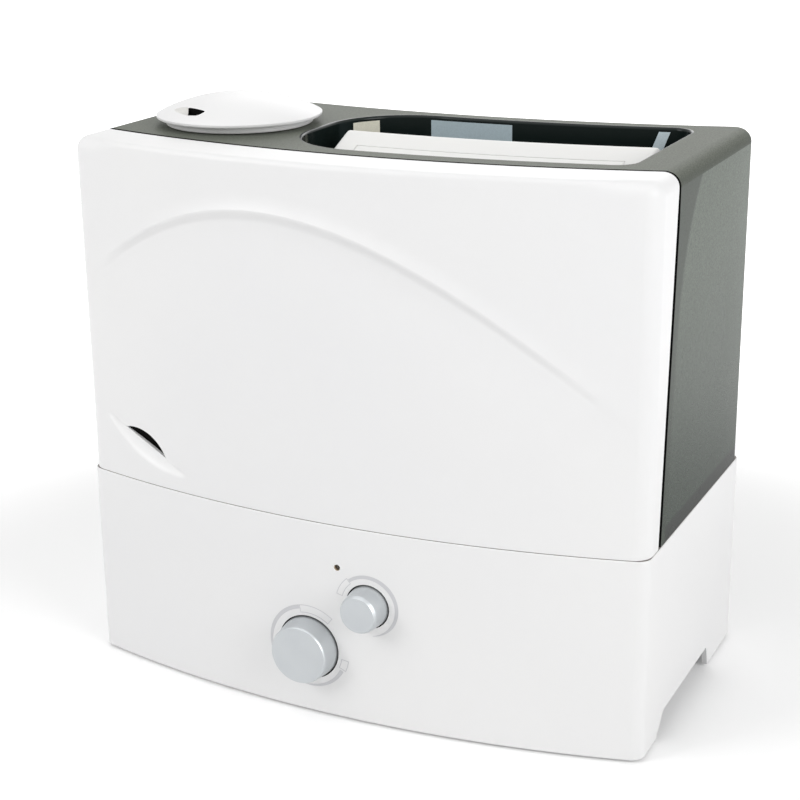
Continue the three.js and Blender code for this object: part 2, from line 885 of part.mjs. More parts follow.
function makeShaft(x, z, radius) {
  const inner = controlFace(x, radius) + controlFlangeThickness + shaftIntoControl;
  return rodAlongY(x, z, frontY(x) - (shaftIntoKnob - knobSink), inner - touchGap, shaftRadius, 20);
}

function makeControl(x, z, radius) {
  const face = controlFace(x, radius);
  const flangeBack = face + controlFlangeThickness;
  const flange = rodAlongY(x, z, face, flangeBack, radius + controlFlangeMargin, 32);
  const body = rodAlongY(x, z, flangeBack - 1, flangeBack + controlLength, controlRadius, 24);
  const bore = rodAlongY(x, z, face - 1, flangeBack + shaftIntoControl, shaftRadius + touchGap, 20);
  return cut(joined(flange, body), bore);
}

function makeLight() {
  const inside = frontY(lightX, housingWall) + 2 * touchGap;
  const lens = rodAlongY(lightX, lightHeight, frontY(lightX) + 1, inside + 1, lightRadius - touchGap, 16);
  const flange = rodAlongY(lightX, lightHeight, inside, inside + 1, lightFlangeRadius, 16);
  const body = rodAlongY(lightX, lightHeight, inside, inside + lightLength, lightRadius, 16);
  return joined(lens, flange, body);
}

// ---- water level float ----

const floatLow = basinFloorHeight + touchGap;

function makeFloat() {
  const bore = floatPostRadius + touchGap;
  return ring(floatX, floatY, floatLow, floatLow + floatHeight, floatRadius, bore, 28);
}

function makeFloatCap() {
  const postTop = deckHeight - floatPostDrop;
  const low = postTop - floatCapThickness;
  const body = post(floatX, floatY, low, postTop + floatCapThickness, floatCapRadius, 20);
  return cut(body, post(floatX, floatY, low - 1, postTop + touchGap, floatPostRadius + touchGap, 16));
}

// ---- tank ----

// Everything in front of the parting line: a curved line across the top and a sloping one down each side.
function panelRegion(margin) {
  const wide = bodyWidth / 2 + overrun;
  const rear = arcPoints(
    0,
    frontCentreY,
    curveRadius - panelLedge - margin,
    -Math.PI / 2 + Math.asin(wide / curveRadius),
    -Math.PI / 2 - Math.asin(wide / curveRadius),
    arcSteps,
  );
  const ahead = -bodyBulge - overrun;
  const plan = [new THREE.Vector2(-wide, ahead), new THREE.Vector2(wide, ahead), ...rear];
  const slope = (panelLedge - panelSideBottom) / (panelSideSlopeTop - baseHeight);
  const high = fullHeight + overrun;
  const side = alongX(
    [
      new THREE.Vector2(ahead - overrun, 0),
      new THREE.Vector2(panelSideBottom + margin - slope * baseHeight, 0),
      new THREE.Vector2(panelSideBottom + margin + slope * (high - baseHeight), high),
      new THREE.Vector2(ahead - overrun, high),
    ],
    -bodyWidth,
    bodyWidth,
  );
  return upright(plan, 0, high).intersect(side);
}

function windowLens() {
  const bowed = (bow, from, to) => {
    const half = windowLength / 2;
    const radius = (half ** 2 + bow ** 2) / (2 * bow);
    const spread = Math.asin(half / radius);
    const middle = Math.PI / 2;
    return arcPoints(0, bow - radius, radius, middle + from * spread, middle + to * spread, 10);
  };
  const outline = [...bowed(windowOuterBow, -1, 1), ...bowed(windowInnerBow, 1, -1).slice(1, -1)];
  return alongY(outline, -overrun, overrun)
    .rotate([0, -windowTilt, 0])
    .translate([windowX, frontY(windowX), windowHeight]);
}

// A crescent over the arch, as thick as the brow where it is widest.
function makeBrow() {
  const arch = (lift) =>
    new THREE.CubicBezierCurve(
      new THREE.Vector2(...browLeft),
      new THREE.Vector2(browLeftPull[0], browLeftPull[1] + lift),
      new THREE.Vector2(browRightPull[0], browRightPull[1] + lift),
      new THREE.Vector2(...browRight),
    );
  const lower = arch(0);
  const upper = arch((4 / 3) * browWidth);
  const outline = [...lower.getPoints(browSteps), ...upper.getPoints(browSteps).reverse().slice(1, -1)];
  const proud = bodyBlock(tankInset - browThickness, 0, fullHeight);
  const core = bodyBlock(tankInset + panelWall / 2, 0, fullHeight);
  return cut(alongY(outline, -bodyDepth, bodyDepth / 4).intersect(proud), core);
}

function makePanel() {
  const layer = cut(roundedBody(tankInset, tankLow), roundedBody(tankInset + panelWall, 0));
  return cut(joined(layer.intersect(panelRegion(0)), makeBrow()), windowLens());
}

const wellLeft = nozzleX + wellFromNozzle;
const wellRight = bodyWidth / 2 - wellFromSide;

function wellOutline(margin) {
  const quarter = Math.PI / 2;
  const corner = (x, y, radius, from) =>
    arcPoints(x, y, radius + margin, from, from + quarter, wellCornerSteps);
  const frontAt = (x) => frontY(x) + wellFrontDepth;
  const backAt = (x) => backY(x) - wellBackMargin;
  const between = (from, to, edge, offset) =>
    Array.from({ length: 9 }, (_, i) => {
      const x = from + ((to - from) * (i + 1)) / 10;
      return new THREE.Vector2(x, edge(x) + offset);
    });
  const frontLeft = wellLeft + wellFrontLeftRadius;
  const frontRight = wellRight - wellFrontRightRadius;
  const backRight = wellRight - wellBackRightRadius;
  const backLeft = wellLeft + wellBackLeftRadius;
  return [
    ...corner(frontLeft, frontAt(frontLeft) + wellFrontLeftRadius, wellFrontLeftRadius, 2 * quarter),
    ...between(frontLeft, frontRight, frontAt, -margin),
    ...corner(frontRight, frontAt(frontRight) + wellFrontRightRadius, wellFrontRightRadius, -quarter),
    ...corner(backRight, backAt(backRight) - wellBackRightRadius, wellBackRightRadius, 0),
    ...between(backRight, backLeft, backAt, margin),
    ...corner(backLeft, backAt(backLeft) - wellBackLeftRadius, wellBackLeftRadius, quarter),
  ];
}

const wellFloor = fullHeight - wellDepth;

function makeTankShell() {
  const rebate = cut(panelRegion(touchGap), roundedBody(innerFaceInset, 0));
  const walls = cut(roundedBody(tankInset, tankLow), rebate, roundedBody(cavityInset, 0));
  const well = upright(wellOutline(wellWall), wellFloor - wellWall, fullHeight - tankWall / 2);
  return cut(
    joined(walls, well),
    upright(wellOutline(0), wellFloor, fullHeight + 1),
    post(nozzleX, nozzleY, fullHeight - 4 * topRadius, fullHeight + 1, chimneyRadius + touchGap, 32),
  );
}

function makeTankFloor() {
  const inset = cavityInset + touchGap;
  const outline = bodyOutline(inset, tankCornerRadius(cavityInset) - touchGap);
  const plate = upright(outline, tankLow, tankLow + floorThickness);
  const neckLow = tankLow - neckLength;
  const high = tankLow + floorThickness + 1;
  const spigotLow = tankLow - mistSpigotDepth;
  const neck = post(valveX, valveY, neckLow, tankLow + 1, neckRadius, 28);
  const spigot = post(nozzleX, nozzleY, spigotLow, tankLow + 1, chimneyRadius, 32);
  return cut(
    joined(plate, neck, spigot),
    post(valveX, valveY, neckLow - 1, high, neckRadius - neckWall, 28),
    post(nozzleX, nozzleY, spigotLow - 1, high, chimneyRadius - chimneyWall, 32),
  );
}

function makeChimney() {
  const low = tankLow + floorThickness + touchGap;
  return ring(nozzleX, nozzleY, low, fullHeight - touchGap, chimneyRadius, chimneyRadius - chimneyWall, 32);
}

// ---- filling cap and valve ----

const neckLow = tankLow - neckLength;
const capFloorTop = neckLow - sealThickness - 2 * touchGap;
const capBottom = capFloorTop - capFloorThickness;

function makeTankCap() {
  const innerRadius = neckRadius + touchGap;
  const outerRadius = innerRadius + capSideWall;
  const cup = cut(
    post(valveX, valveY, capBottom, tankLow - 2 * touchGap, outerRadius, 28),
    post(valveX, valveY, capFloorTop, tankLow + 1, innerRadius, 28),
  );
  const grips = Array.from({ length: capGripCount }, (_, i) =>
    box([outerRadius - capGripDepth, -2, capBottom - 1], [outerRadius + 5, 2, tankLow - 6])
      .rotate([0, 0, (i * 360) / capGripCount])
      .translate([valveX, valveY, 0]),
  );
  const ringLow = capFloorTop + cageHeight;
  const legLow = [cageRingRadius - cageLegSize, -cageLegSize / 2, capFloorTop - 1];
  const legHigh = [cageRingRadius - touchGap, cageLegSize / 2, ringLow + 1];
  const legs = Array.from({ length: 3 }, (_, i) =>
    box(legLow, legHigh)
      .rotate([0, 0, i * 120])
      .translate([valveX, valveY, 0]),
  );
  const guide = valveStemRadius + 2 * touchGap;
  const cageRing = ring(valveX, valveY, ringLow, ringLow + cageRingThickness, cageRingRadius, guide, 24);
  const hole = post(valveX, valveY, capBottom - 1, capFloorTop + 1, valveHoleRadius, 24);
  return cut(joined(cut(cup, ...grips), ...legs, cageRing), hole);
}

function makeCapSeal() {
  const low = capFloorTop + touchGap;
  return ring(valveX, valveY, low, low + sealThickness, neckRadius - touchGap, neckRadius - neckWall, 28);
}

// The valve is shown closed, with the end of its stem just above the post in the tray.
const valveSealLow = capFloorTop + touchGap;
const flangeLow = valveSealLow + valveSealThickness + touchGap;
const flangeHigh = flangeLow + valveFlangeThickness;

function makePlunger() {
  const top = capFloorTop + cageHeight + cageRingThickness + valveStemAbove;
  return joined(
    post(valveX, valveY, valveStemLow, top, valveStemRadius, 16),
    post(valveX, valveY, flangeLow, flangeHigh, valveFlangeRadius, 24),
  );
}

function makeValveSeal() {
  const high = valveSealLow + valveSealThickness;
  return ring(valveX, valveY, valveSealLow, high, valveSealRadius, valveStemRadius + touchGap, 24);
}

class SpringLine extends THREE.Curve {
  constructor(radius, low, high, turns) {
    super();
    Object.assign(this, { radius, low, high, turns });
  }

  getPoint(t, target = new THREE.Vector3()) {
    const angle = 2 * Math.PI * this.turns * t;
    const height = this.low + (this.high - this.low) * t;
    return target.set(this.radius * Math.cos(angle), this.radius * Math.sin(angle), height);
  }
}

function makeSpring() {
  const low = flangeHigh + touchGap + springWire;
  const high = capFloorTop + cageHeight - touchGap - springWire;
  const section = new THREE.Shape(arcPoints(0, 0, springWire, 0, 2 * Math.PI, 6).slice(0, -1));
  const path = new SpringLine(springRadius, low, high, springTurns);
  const settings = { steps: springTurns * springStepsPerTurn, extrudePath: path, bevelEnabled: false };
  return solidFrom(new THREE.ExtrudeGeometry(section, settings)).translate([valveX, valveY, 0]);
}

// ---- handle ----

const pivotY = frontY(0) + pivotDepth;
const pivotZ = wellFloor + pivotAboveWellFloor;
const gripLeft = wellLeft + gripLeftGap;
const gripRight = wellRight - gripRightGap;
const gripBandDepth = gripRearDepth - gripBandWidth;
const leftArm = gripLeft + leftArmInset;
const rightArm = gripRight - 1;
const gripTop = fullHeight - gripTopDrop;
const slopeRise = Math.tan((gripSlope * Math.PI) / 180);

function gripFaceHeight(depth) {
  return gripTop - gripBandDrop - (gripBandDepth - depth) * slopeRise;
}

function coverPocket(margin) {
  const front = gripFrontDepth - 1;
  const rear = gripBandDepth - coverSetback + margin;
  const profile = [
    [front, gripFaceHeight(front) - coverThickness - margin],
    [rear, gripFaceHeight(rear) - coverThickness - margin],
    [rear, gripFaceHeight(rear) + 5 * margin],
    [front, gripFaceHeight(front) + 5 * margin],
  ];
  return bowedAlongX(profile, gripLeft + coverMargin - margin, gripRight - coverMargin + margin);
}

function arm(fromX, toX) {
  const gripY = frontY((fromX + toX) / 2);
  const rear = gripY + gripRearDepth - 8;
  const front = gripY + gripFrontDepth + 3;
  const low = gripFaceHeight(gripFrontDepth) - gripFrontHeight;
  const web = alongX(
    [
      new THREE.Vector2(pivotY, pivotZ - pivotBossRadius),
      new THREE.Vector2(rear, gripTop - gripRearHeight + 1),
      new THREE.Vector2(rear - 4, gripTop - gripBandDrop - 4),
      new THREE.Vector2(front, low + 3),
      new THREE.Vector2(pivotY - 2, pivotZ + pivotBossRadius - 0.4),
    ],
    fromX,
    toX,
  );
  return joined(web, rodAlongX(pivotY, pivotZ, fromX, toX, pivotBossRadius));
}

function makeGrip() {
  const bar = bowedAlongX(
    [
      [gripFrontDepth, gripFaceHeight(gripFrontDepth) - gripFrontHeight],
      [gripRearDepth - 3, gripTop - gripRearHeight],
      [gripRearDepth, gripTop - gripRearHeight + 3],
      [gripRearDepth, gripTop - 1.5],
      [gripRearDepth - 1.5, gripTop],
      [gripBandDepth, gripFaceHeight(gripBandDepth)],
      [gripFrontDepth, gripFaceHeight(gripFrontDepth)],
    ],
    gripLeft,
    gripRight,
  );
  const arms = [arm(leftArm, leftArm + armThickness), arm(rightArm - armThickness, rightArm)];
  const bore = rodAlongX(pivotY, pivotZ, leftArm - 1, rightArm + 1, pinRadius + touchGap);
  return cut(joined(bar, ...arms), coverPocket(touchGap), bore);
}

function makeCover() {
  const front = gripFrontDepth + touchGap;
  const rear = gripBandDepth - coverSetback;
  const profile = [
    [front, gripFaceHeight(front) - coverThickness],
    [rear, gripFaceHeight(rear) - coverThickness],
    [rear, gripFaceHeight(rear)],
    [front, gripFaceHeight(front)],
  ];
  return bowedAlongX(profile, gripLeft + coverMargin, gripRight - coverMargin);
}

// The corners of the well are round, and a pin's head meets them first at its front edge.
function wellEndX(side, wall, radius) {
  const centreX = wall - side * radius;
  const centreY = frontY(centreX) + wellFrontDepth + radius;
  const ahead = Math.max(centreY - pivotY + pinHeadRadius, 0);
  return centreX + side * Math.sqrt(radius ** 2 - ahead ** 2);
}

function makePin(side, wall, armOuter) {
  const end = wall - side * pinEndGap;
  const seat = armOuter + side * touchGap;
  const inner = armOuter - side * (armThickness + 1);
  const span = (from, to, radius) =>
    rodAlongX(pivotY, pivotZ, Math.min(from, to), Math.max(from, to), radius);
  return joined(span(end, seat, pinHeadRadius), span(end, inner, pinRadius));
}

// ---- nozzle ----

const collarLow = fullHeight + touchGap;
const collarTop = collarLow + collarThickness;
const spigotRadius = chimneyRadius - chimneyWall - touchGap;
const skirtRadius = spigotRadius - spigotWall - touchGap;
const capLow = collarTop + touchGap;

function makeCollar() {
  const low = fullHeight - spigotDepth;
  const bore = spigotRadius - spigotWall;
  return cut(
    joined(
      post(nozzleX, nozzleY, collarLow, collarTop, collarRadius, 36),
      post(nozzleX, nozzleY, low, collarLow + 1, spigotRadius, nozzleSides),
    ),
    post(nozzleX, nozzleY, low - 1, collarTop + 1, bore, nozzleSides),
  );
}

// A dome of parabolic section on the Z axis, with a straight rim below it.
function domed(radius, bottom, rim, steps, sides) {
  const curve = Array.from({ length: steps + 1 }, (_, i) => {
    const share = 1 - i / steps;
    return [radius * share, rim + capCrown * (1 - share ** 2)];
  });
  return turned([[0, bottom], [radius, bottom], ...curve], sides);
}

function makeNozzleCap() {
  const inner = capRadius - capWall;
  const dome = domed(capRadius, capLow, capLow + capEdge, 5, 40);
  const hollow = domed(inner, capLow - 1, capLow, 4, 32);
  const skirtLow = fullHeight - capSkirtDepth;
  const bore = post(0, 0, skirtLow - 1, capLow + 2 * capCrown, skirtRadius - capSkirtWall, nozzleSides);
  const sleeve = post(0, 0, skirtLow, capLow + 1, skirtRadius, nozzleSides);
  const neck = dome.intersect(post(0, 0, capLow, capLow + 2 * capCrown, skirtRadius, nozzleSides));
  const toHole = (Math.atan2(mistHoleY, mistHoleX) * 180) / Math.PI;
  const half = skirtWindowWidth / 2;
  const window = box([0, -half, capLow + 1], [capRadius / 2 + half, half, capLow + 1 + skirtWindowHeight]);
  const skirt = cut(joined(sleeve, neck), bore, window.rotate([0, 0, toHole]));
  const halfDisc = arcPoints(0, 0, mistHoleRadius, -Math.PI / 2, Math.PI / 2, 8);
  const mistHole = upright(halfDisc, capLow - 1, capLow + 2 * capCrown)
    .rotate([0, 0, mistHoleTurn])
    .translate([mistHoleX, mistHoleY, 0]);
  return cut(joined(cut(dome, hollow), skirt), mistHole).translate([nozzleX, nozzleY, 0]);
}

// ---- assembly ----

const looks = {
  whitePlastic: { color: '#ececec', roughness: 0.35, metalness: 0 },
  greyPlastic: { color: '#8d9092', roughness: 0.5, metalness: 0 },
  smokedPlastic: { color: '#6f7872', roughness: 0.15, metalness: 0 },
  satinSilver: { color: '#c3c8cb', roughness: 0.35, metalness: 0.6 },
  darkPlastic: { color: '#1d1f20', roughness: 0.6, metalness: 0 },
  rubber: { color: '#3a3a3a', roughness: 0.8, metalness: 0 },
  steel: { color: '#a8abad', roughness: 0.35, metalness: 0.9 },
  boardGreen: { color: '#1f5a3a', roughness: 0.5, metalness: 0 },
  copper: { color: '#b06a3c', roughness: 0.4, metalness: 0.6 },
  amber: { color: '#d9efe0', roughness: 0.2, metalness: 0 },
};

const humidifier = new THREE.Group();

function addPart(name, look, solid) {
  const mesh = new THREE.Mesh(geometryFrom(solid), new THREE.MeshStandardMaterial(looks[look]));
  mesh.name = name;
  humidifier.add(mesh);
}

addPart('base_housing', 'whitePlastic', makeHousing());
addPart('bottom_plate', 'greyPlastic', makeBottomPlate());
footPlaces.forEach((place, i) => addPart(`rubber_foot_${i + 1}`, 'rubber', makeFoot(place)));
bossPlaces.forEach(([x, y], i) =>
  addPart(`base_screw_${i + 1}`, 'steel', makeScrew(x, y, plateLift - touchGap, screwShaftLength)),
);
addPart('water_tray', 'greyPlastic', makeTray());
addPart('chamber_cup', 'greyPlastic', makeCup());
addPart('transducer_gasket', 'rubber', makeGasket());
addPart('transducer_disc', 'steel', makeDisc());
addPart('transducer_clamp', 'steel', makeClamp());
clampScrewPlaces.forEach((place, i) => addPart(`clamp_screw_${i + 1}`, 'steel', makeClampScrew(place)));
addPart('air_duct', 'greyPlastic', makeDuct());
addPart('fan_frame', 'darkPlastic', makeFanFrame());
addPart('fan_impeller', 'darkPlastic', makeImpeller());
addPart('circuit_board', 'boardGreen', makeBoard());
addPart('heat_sink', 'steel', makeHeatSink());
addPart('transformer', 'copper', makeTransformer());
addPart('power_inlet', 'darkPlastic', makeInlet());
addPart('mist_control', 'darkPlastic', makeControl(mistKnobX, mistKnobHeight, mistKnobRadius));
addPart('mist_knob', 'satinSilver', makeKnob(mistKnobX, mistKnobHeight, mistKnobRadius));
addPart('mist_knob_shaft', 'steel', makeShaft(mistKnobX, mistKnobHeight, mistKnobRadius));
addPart(
  'humidity_control',
  'darkPlastic',
  makeControl(humidityKnobX, humidityKnobHeight, humidityKnobRadius),
);
addPart('humidity_knob', 'satinSilver', makeKnob(humidityKnobX, humidityKnobHeight, humidityKnobRadius));
addPart('humidity_knob_shaft', 'steel', makeShaft(humidityKnobX, humidityKnobHeight, humidityKnobRadius));
addPart('indicator_light', 'amber', makeLight());
addPart('level_float', 'whitePlastic', makeFloat());
addPart('float_cap', 'greyPlastic', makeFloatCap());
addPart('tank_shell', 'smokedPlastic', makeTankShell());
addPart('tank_floor', 'smokedPlastic', makeTankFloor());
addPart('front_panel', 'whitePlastic', makePanel());
addPart('mist_chimney', 'smokedPlastic', makeChimney());
addPart('tank_cap', 'whitePlastic', makeTankCap());
addPart('cap_seal', 'rubber', makeCapSeal());
addPart('valve_plunger', 'whitePlastic', makePlunger());
addPart('valve_seal', 'rubber', makeValveSeal());
addPart('valve_spring', 'steel', makeSpring());
addPart('handle_grip', 'whitePlastic', makeGrip());
addPart('handle_cover', 'whitePlastic', makeCover());
addPart('handle_pin_left', 'steel', makePin(-1, wellEndX(-1, wellLeft, wellFrontLeftRadius), leftArm));
addPart('handle_pin_right', 'steel', makePin(1, wellEndX(1, wellRight, wellFrontRightRadius), rightArm));
addPart('nozzle_collar', 'whitePlastic', makeCollar());
addPart('nozzle_cap', 'whitePlastic', makeNozzleCap());

// The origin is under the middle of the whole object's box, knobs included.
const foremost = Math.min(frontY(mistKnobX), frontY(humidityKnobX)) - knobProud;
const hindmost = Math.max(...bodyOutline(0).map((point) => point.y));
humidifier.position.y = -(foremost + hindmost) / 2;

export default humidifier;
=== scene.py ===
import math

import bpy
import numpy as np
from mathutils import Matrix, Vector


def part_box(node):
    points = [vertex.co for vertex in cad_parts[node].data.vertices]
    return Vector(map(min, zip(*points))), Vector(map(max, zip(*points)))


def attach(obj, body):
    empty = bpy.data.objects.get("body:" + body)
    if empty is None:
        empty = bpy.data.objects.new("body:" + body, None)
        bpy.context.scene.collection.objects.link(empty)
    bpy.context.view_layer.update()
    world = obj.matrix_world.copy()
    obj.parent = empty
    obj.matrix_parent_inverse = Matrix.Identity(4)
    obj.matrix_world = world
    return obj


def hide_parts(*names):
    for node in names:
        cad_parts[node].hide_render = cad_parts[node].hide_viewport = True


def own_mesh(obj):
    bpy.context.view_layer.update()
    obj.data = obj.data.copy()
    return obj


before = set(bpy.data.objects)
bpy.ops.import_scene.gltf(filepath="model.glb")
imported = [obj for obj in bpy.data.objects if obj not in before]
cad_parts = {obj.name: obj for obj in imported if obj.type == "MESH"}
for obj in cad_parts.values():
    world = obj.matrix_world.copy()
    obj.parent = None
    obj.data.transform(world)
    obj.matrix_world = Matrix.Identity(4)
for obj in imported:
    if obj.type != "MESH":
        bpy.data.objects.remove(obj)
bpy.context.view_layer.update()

quarter = math.pi / 2
fullTurn = 2 * math.pi
gap = 0.0003  # between pieces that touch
beyond = 0.3  # further out than any side of the object
tiny = 0.0001  # least radius of a rounded corner, and slack in telling which faces are level with the seam
nothing = 1e-6  # a length or a turn below this counts as none
normalWeight = 60


# the curved slab that the base and the tank share, worked out from the frame
body = {
    "depth": 0.17594,
    "bulge": 0.0224,
    "baseCorner": 0.008,
    "tankCorner": 0.0105,
    "tankEdge": 0.008,
    "leastEdge": 0.001,
    "frontSteps": 96,
}
housingLow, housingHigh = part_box("base_housing")
shellLow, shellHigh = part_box("tank_shell")
halfWidth = housingHigh.x
tankInset = halfWidth - shellHigh.x
curveRadius = (halfWidth**2 + body["bulge"] ** 2) / (2 * body["bulge"])
cornerLineY = housingLow.y + body["bulge"]
frontCentreY = cornerLineY + curveRadius - body["bulge"]
backCentreY = frontCentreY + body["depth"]
seamZ = housingHigh.z
topZ = shellHigh.z


# where the plain front and back stand at each x
def frontY(x):
    return frontCentreY - np.sqrt(curveRadius**2 - np.square(x))


def backY(x):
    return backCentreY - np.sqrt(curveRadius**2 - np.square(x))


# the middle of a node's box, and half its width
def middleOf(node):
    low, high = np.array(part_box(node))
    return (*((low + high) / 2), (high[0] - low[0]) / 2)


# mesh helpers

def makePiece(name, points, faces):
    mesh = bpy.data.meshes.new(name)
    mesh.from_pydata([tuple(p) for p in points], [], faces)
    mesh.validate()
    mesh.update()
    piece = bpy.data.objects.new(name, mesh)
    bpy.context.scene.collection.objects.link(piece)
    return piece


# rings of equal count joined by quads; a closed tube ends on its first ring, an open one gets caps
def ringPiece(name, rings, closed=False):
    count = len(rings[0])
    points = np.concatenate(rings)
    faces = []
    pairs = list(zip(range(len(rings)), range(1, len(rings))))
    if closed:
        pairs.append((len(rings) - 1, 0))
    for a, b in pairs:
        for i in range(count):
            j = (i + 1) % count
            faces.append((a * count + i, a * count + j, b * count + j, b * count + i))
    if not closed:
        faces.append(tuple(reversed(range(count))))
        faces.append(tuple((len(rings) - 1) * count + i for i in range(count)))
    return makePiece(name, points, faces)


def arc(x, y, radius, start, end, steps):
    angles = np.linspace(start, end, steps + 1)
    return np.column_stack([x + radius * np.cos(angles), y + radius * np.sin(angles)])


def circle(x, y, radius, steps=96):
    return arc(x, y, radius, 0, fullTurn, steps)[:-1]


# counter-clockwise from the lower left
def boxCorners(left, low, right, high):
    return [(left, low), (right, low), (right, high), (left, high)]


# how far a quarter round of radius 1 has turned inwards, and how far it still is below its top
def quarterSteps(count):
    return [(1 - math.cos(angle), 1 - math.sin(angle)) for angle in np.linspace(0, quarter, count)]


# an outline with its corners rounded, moved inwards by inset; points run counter-clockwise
def rounded(points, radii, inset=0.0, steps=5):
    points = np.asarray(points, float)
    count = len(points)
    radii = np.broadcast_to(radii, (count,))
    lines = []
    for i in range(count):
        a = points[i]
        b = points[(i + 1) % count]
        along = (b - a) / np.linalg.norm(b - a)
        inward = np.array([-along[1], along[0]])
        lines.append((a + inward * inset, along))
    out = []
    for i in range(count):
        (p, u), (q, v) = lines[i - 1], lines[i]
        turn = u[0] * v[1] - u[1] * v[0]
        if abs(turn) < nothing:
            out.append(np.repeat([q], steps + 1, axis=0))
            continue
        share = ((q - p)[0] * v[1] - (q - p)[1] * v[0]) / turn
        corner = p + u * share
        bend = math.atan2(turn, float(np.dot(u, v)))
        radius = max(radii[i] - inset if bend > 0 else radii[i] + inset, tiny)
        back = radius * math.tan(abs(bend) / 2)
        start = corner - u * back
        side = np.array([-u[1], u[0]]) * math.copysign(1, bend)
        centre = start + side * radius
        first = math.atan2(*(start - centre)[::-1])
        out.append(arc(*centre, radius, first, first + bend, steps))
    return np.concatenate(out)


# an outline of (x, y) points drawn upwards, of (x, z) points along Y, or of (y, z) points along X
def upright(name, outline, low, high):
    rings = [np.column_stack([outline, np.full(len(outline), z)]) for z in (low, high)]
    return ringPiece(name, rings)


def alongY(name, outline, low, high):
    rings = [np.column_stack([outline[:, 0], np.full(len(outline), y), outline[:, 1]]) for y in (high, low)]
    return ringPiece(name, rings)


def alongX(name, outline, low, high):
    rings = [np.column_stack([np.full(len(outline), x), outline]) for x in (low, high)]
    return ringPiece(name, rings)


# circles of (radius, height): from the underside's middle to the top's, or closed round a hole
def turned(name, profile, x=0.0, y=0.0, sides=128, closed=False):
    angles = np.linspace(0, fullTurn, sides, endpoint=False)
    across, along = np.cos(angles), np.sin(angles)
    rings = [np.column_stack([x + r * across, y + r * along, np.full(sides, z)]) for r, z in profile]
    return ringPiece(name, rings, closed)


# applies the piece's modifiers to its mesh
def settle(piece):
    graph = bpy.context.evaluated_depsgraph_get()
    mesh = bpy.data.meshes.new_from_object(piece.evaluated_get(graph), depsgraph=graph)
    piece.modifiers.clear()
    old = piece.data
    piece.data = mesh
    bpy.data.meshes.remove(old)
    mesh.name = piece.name


# cut faces take the cutter's material
def carve(piece, *cutters, operation="DIFFERENCE"):
    for cutter in cutters:
        step = piece.modifiers.new("carve", "BOOLEAN")
        step.operation = operation
        step.solver = "EXACT"
        step.material_mode = "TRANSFER"
        step.object = cutter
        settle(piece)
        bpy.data.objects.remove(cutter)
    return piece


# looks are names of materials
def dressPiece(piece, *looks):
    piece.data.materials.clear()
    for look in looks:
        piece.data.materials.append(materials[look])


# a piece without a look of its own keeps the ones that it has
def finishPiece(piece, look, rideOn, node, angle=32):
    if look:
        dressPiece(piece, look)
    mesh = piece.data
    mesh.polygons.foreach_set("use_smooth", [True] * len(mesh.polygons))
    mesh.set_sharp_from_angle(angle=math.radians(angle))
    step = piece.modifiers.new("evenNormals", "WEIGHTED_NORMAL")
    step.keep_sharp = True
    step.weight = normalWeight
    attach(piece, rideOn)
    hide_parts(node)


# one level line of the slab, from its front left corner round the front and back again
def slabRing(z, inset, corner, shares, cornerSteps=6, sideSteps=4, backSteps=48):
    reach = halfWidth - inset - corner
    front = curveRadius - inset
    back = curveRadius + inset
    frontLean = math.asin(reach / (front - corner))
    backLean = math.asin(reach / (back + corner))
    cornerFront = frontCentreY - math.sqrt((front - corner) ** 2 - reach**2)
    cornerBack = backCentreY - math.sqrt((back + corner) ** 2 - reach**2)
    lean = -quarter - frontLean + 2 * frontLean * np.asarray(shares)
    side = np.linspace(cornerFront, cornerBack, sideSteps + 2)[1:-1]
    edge = np.full(sideSteps, halfWidth - inset)
    outline = np.concatenate([
        np.column_stack([front * np.cos(lean), frontCentreY + front * np.sin(lean)]),
        arc(reach, cornerFront, corner, frontLean - quarter, 0, cornerSteps)[1:],
        np.column_stack([edge, side]),
        arc(reach, cornerBack, corner, 0, quarter + backLean, cornerSteps),
        arc(0, backCentreY, back, backLean - quarter, -quarter - backLean, backSteps)[1:],
        arc(-reach, cornerBack, corner, quarter - backLean, math.pi, cornerSteps)[1:],
        np.column_stack([-edge, side[::-1]]),
        arc(-reach, cornerFront, corner, math.pi, 3 * quarter - frontLean, cornerSteps)[:-1],
    ])
    return np.column_stack([outline, np.full(len(outline), z)])


# the tank's outside: upright walls, a rounded upper edge and a flat top
def tankBody(name, inset, low, shares, rows, edgeSteps=11):
    edge = max(body["tankEdge"] - (inset - tankInset), body["leastEdge"])
    corner = edge + body["tankCorner"] - body["tankEdge"]
    high = topZ - (inset - tankInset)
    rings = [slabRing(z, inset, corner, shares) for z in rows if low <= z < high - edge]
    for inward, drop in quarterSteps(edgeSteps):
        pull = edge * inward
        rings.append(slabRing(high - edge * drop, inset + pull, corner - pull, shares))
    return ringPiece(name, rings)


evenShares = np.linspace(0, 1, body["frontSteps"] + 1)


# node helpers: each value is a number, a colour or another node's output

def setInputs(node, values):
    for key, value in values.items():
        if isinstance(value, bpy.types.NodeSocket):
            node.id_data.links.new(value, node.inputs[key])
        else:
            node.inputs[key].default_value = value


def addNode(tree, kind, values=None, **settings):
    node = tree.nodes.new("ShaderNode" + kind)
    for key, value in settings.items():
        setattr(node, key, value)
    setInputs(node, values or {})
    return node


def calculate(tree, operation, a, b, clamp=False):
    return addNode(tree, "Math", {0: a, 1: b}, operation=operation, use_clamp=clamp).outputs[0]


def product(tree, first, *others):
    for other in others:
        first = calculate(tree, "MULTIPLY", first, other)
    return first


def mapRange(tree, value, low, high, toLow=0.0, toHigh=1.0, ease="LINEAR"):
    values = {"Value": value, "From Min": low, "From Max": high, "To Min": toLow, "To Max": toHigh}
    return addNode(tree, "MapRange", values, interpolation_type=ease).outputs["Result"]


def mixTones(tree, factor, under, over):
    values = {"Factor": factor, "A": under, "B": over}
    return addNode(tree, "Mix", values, data_type="RGBA").outputs["Result"]


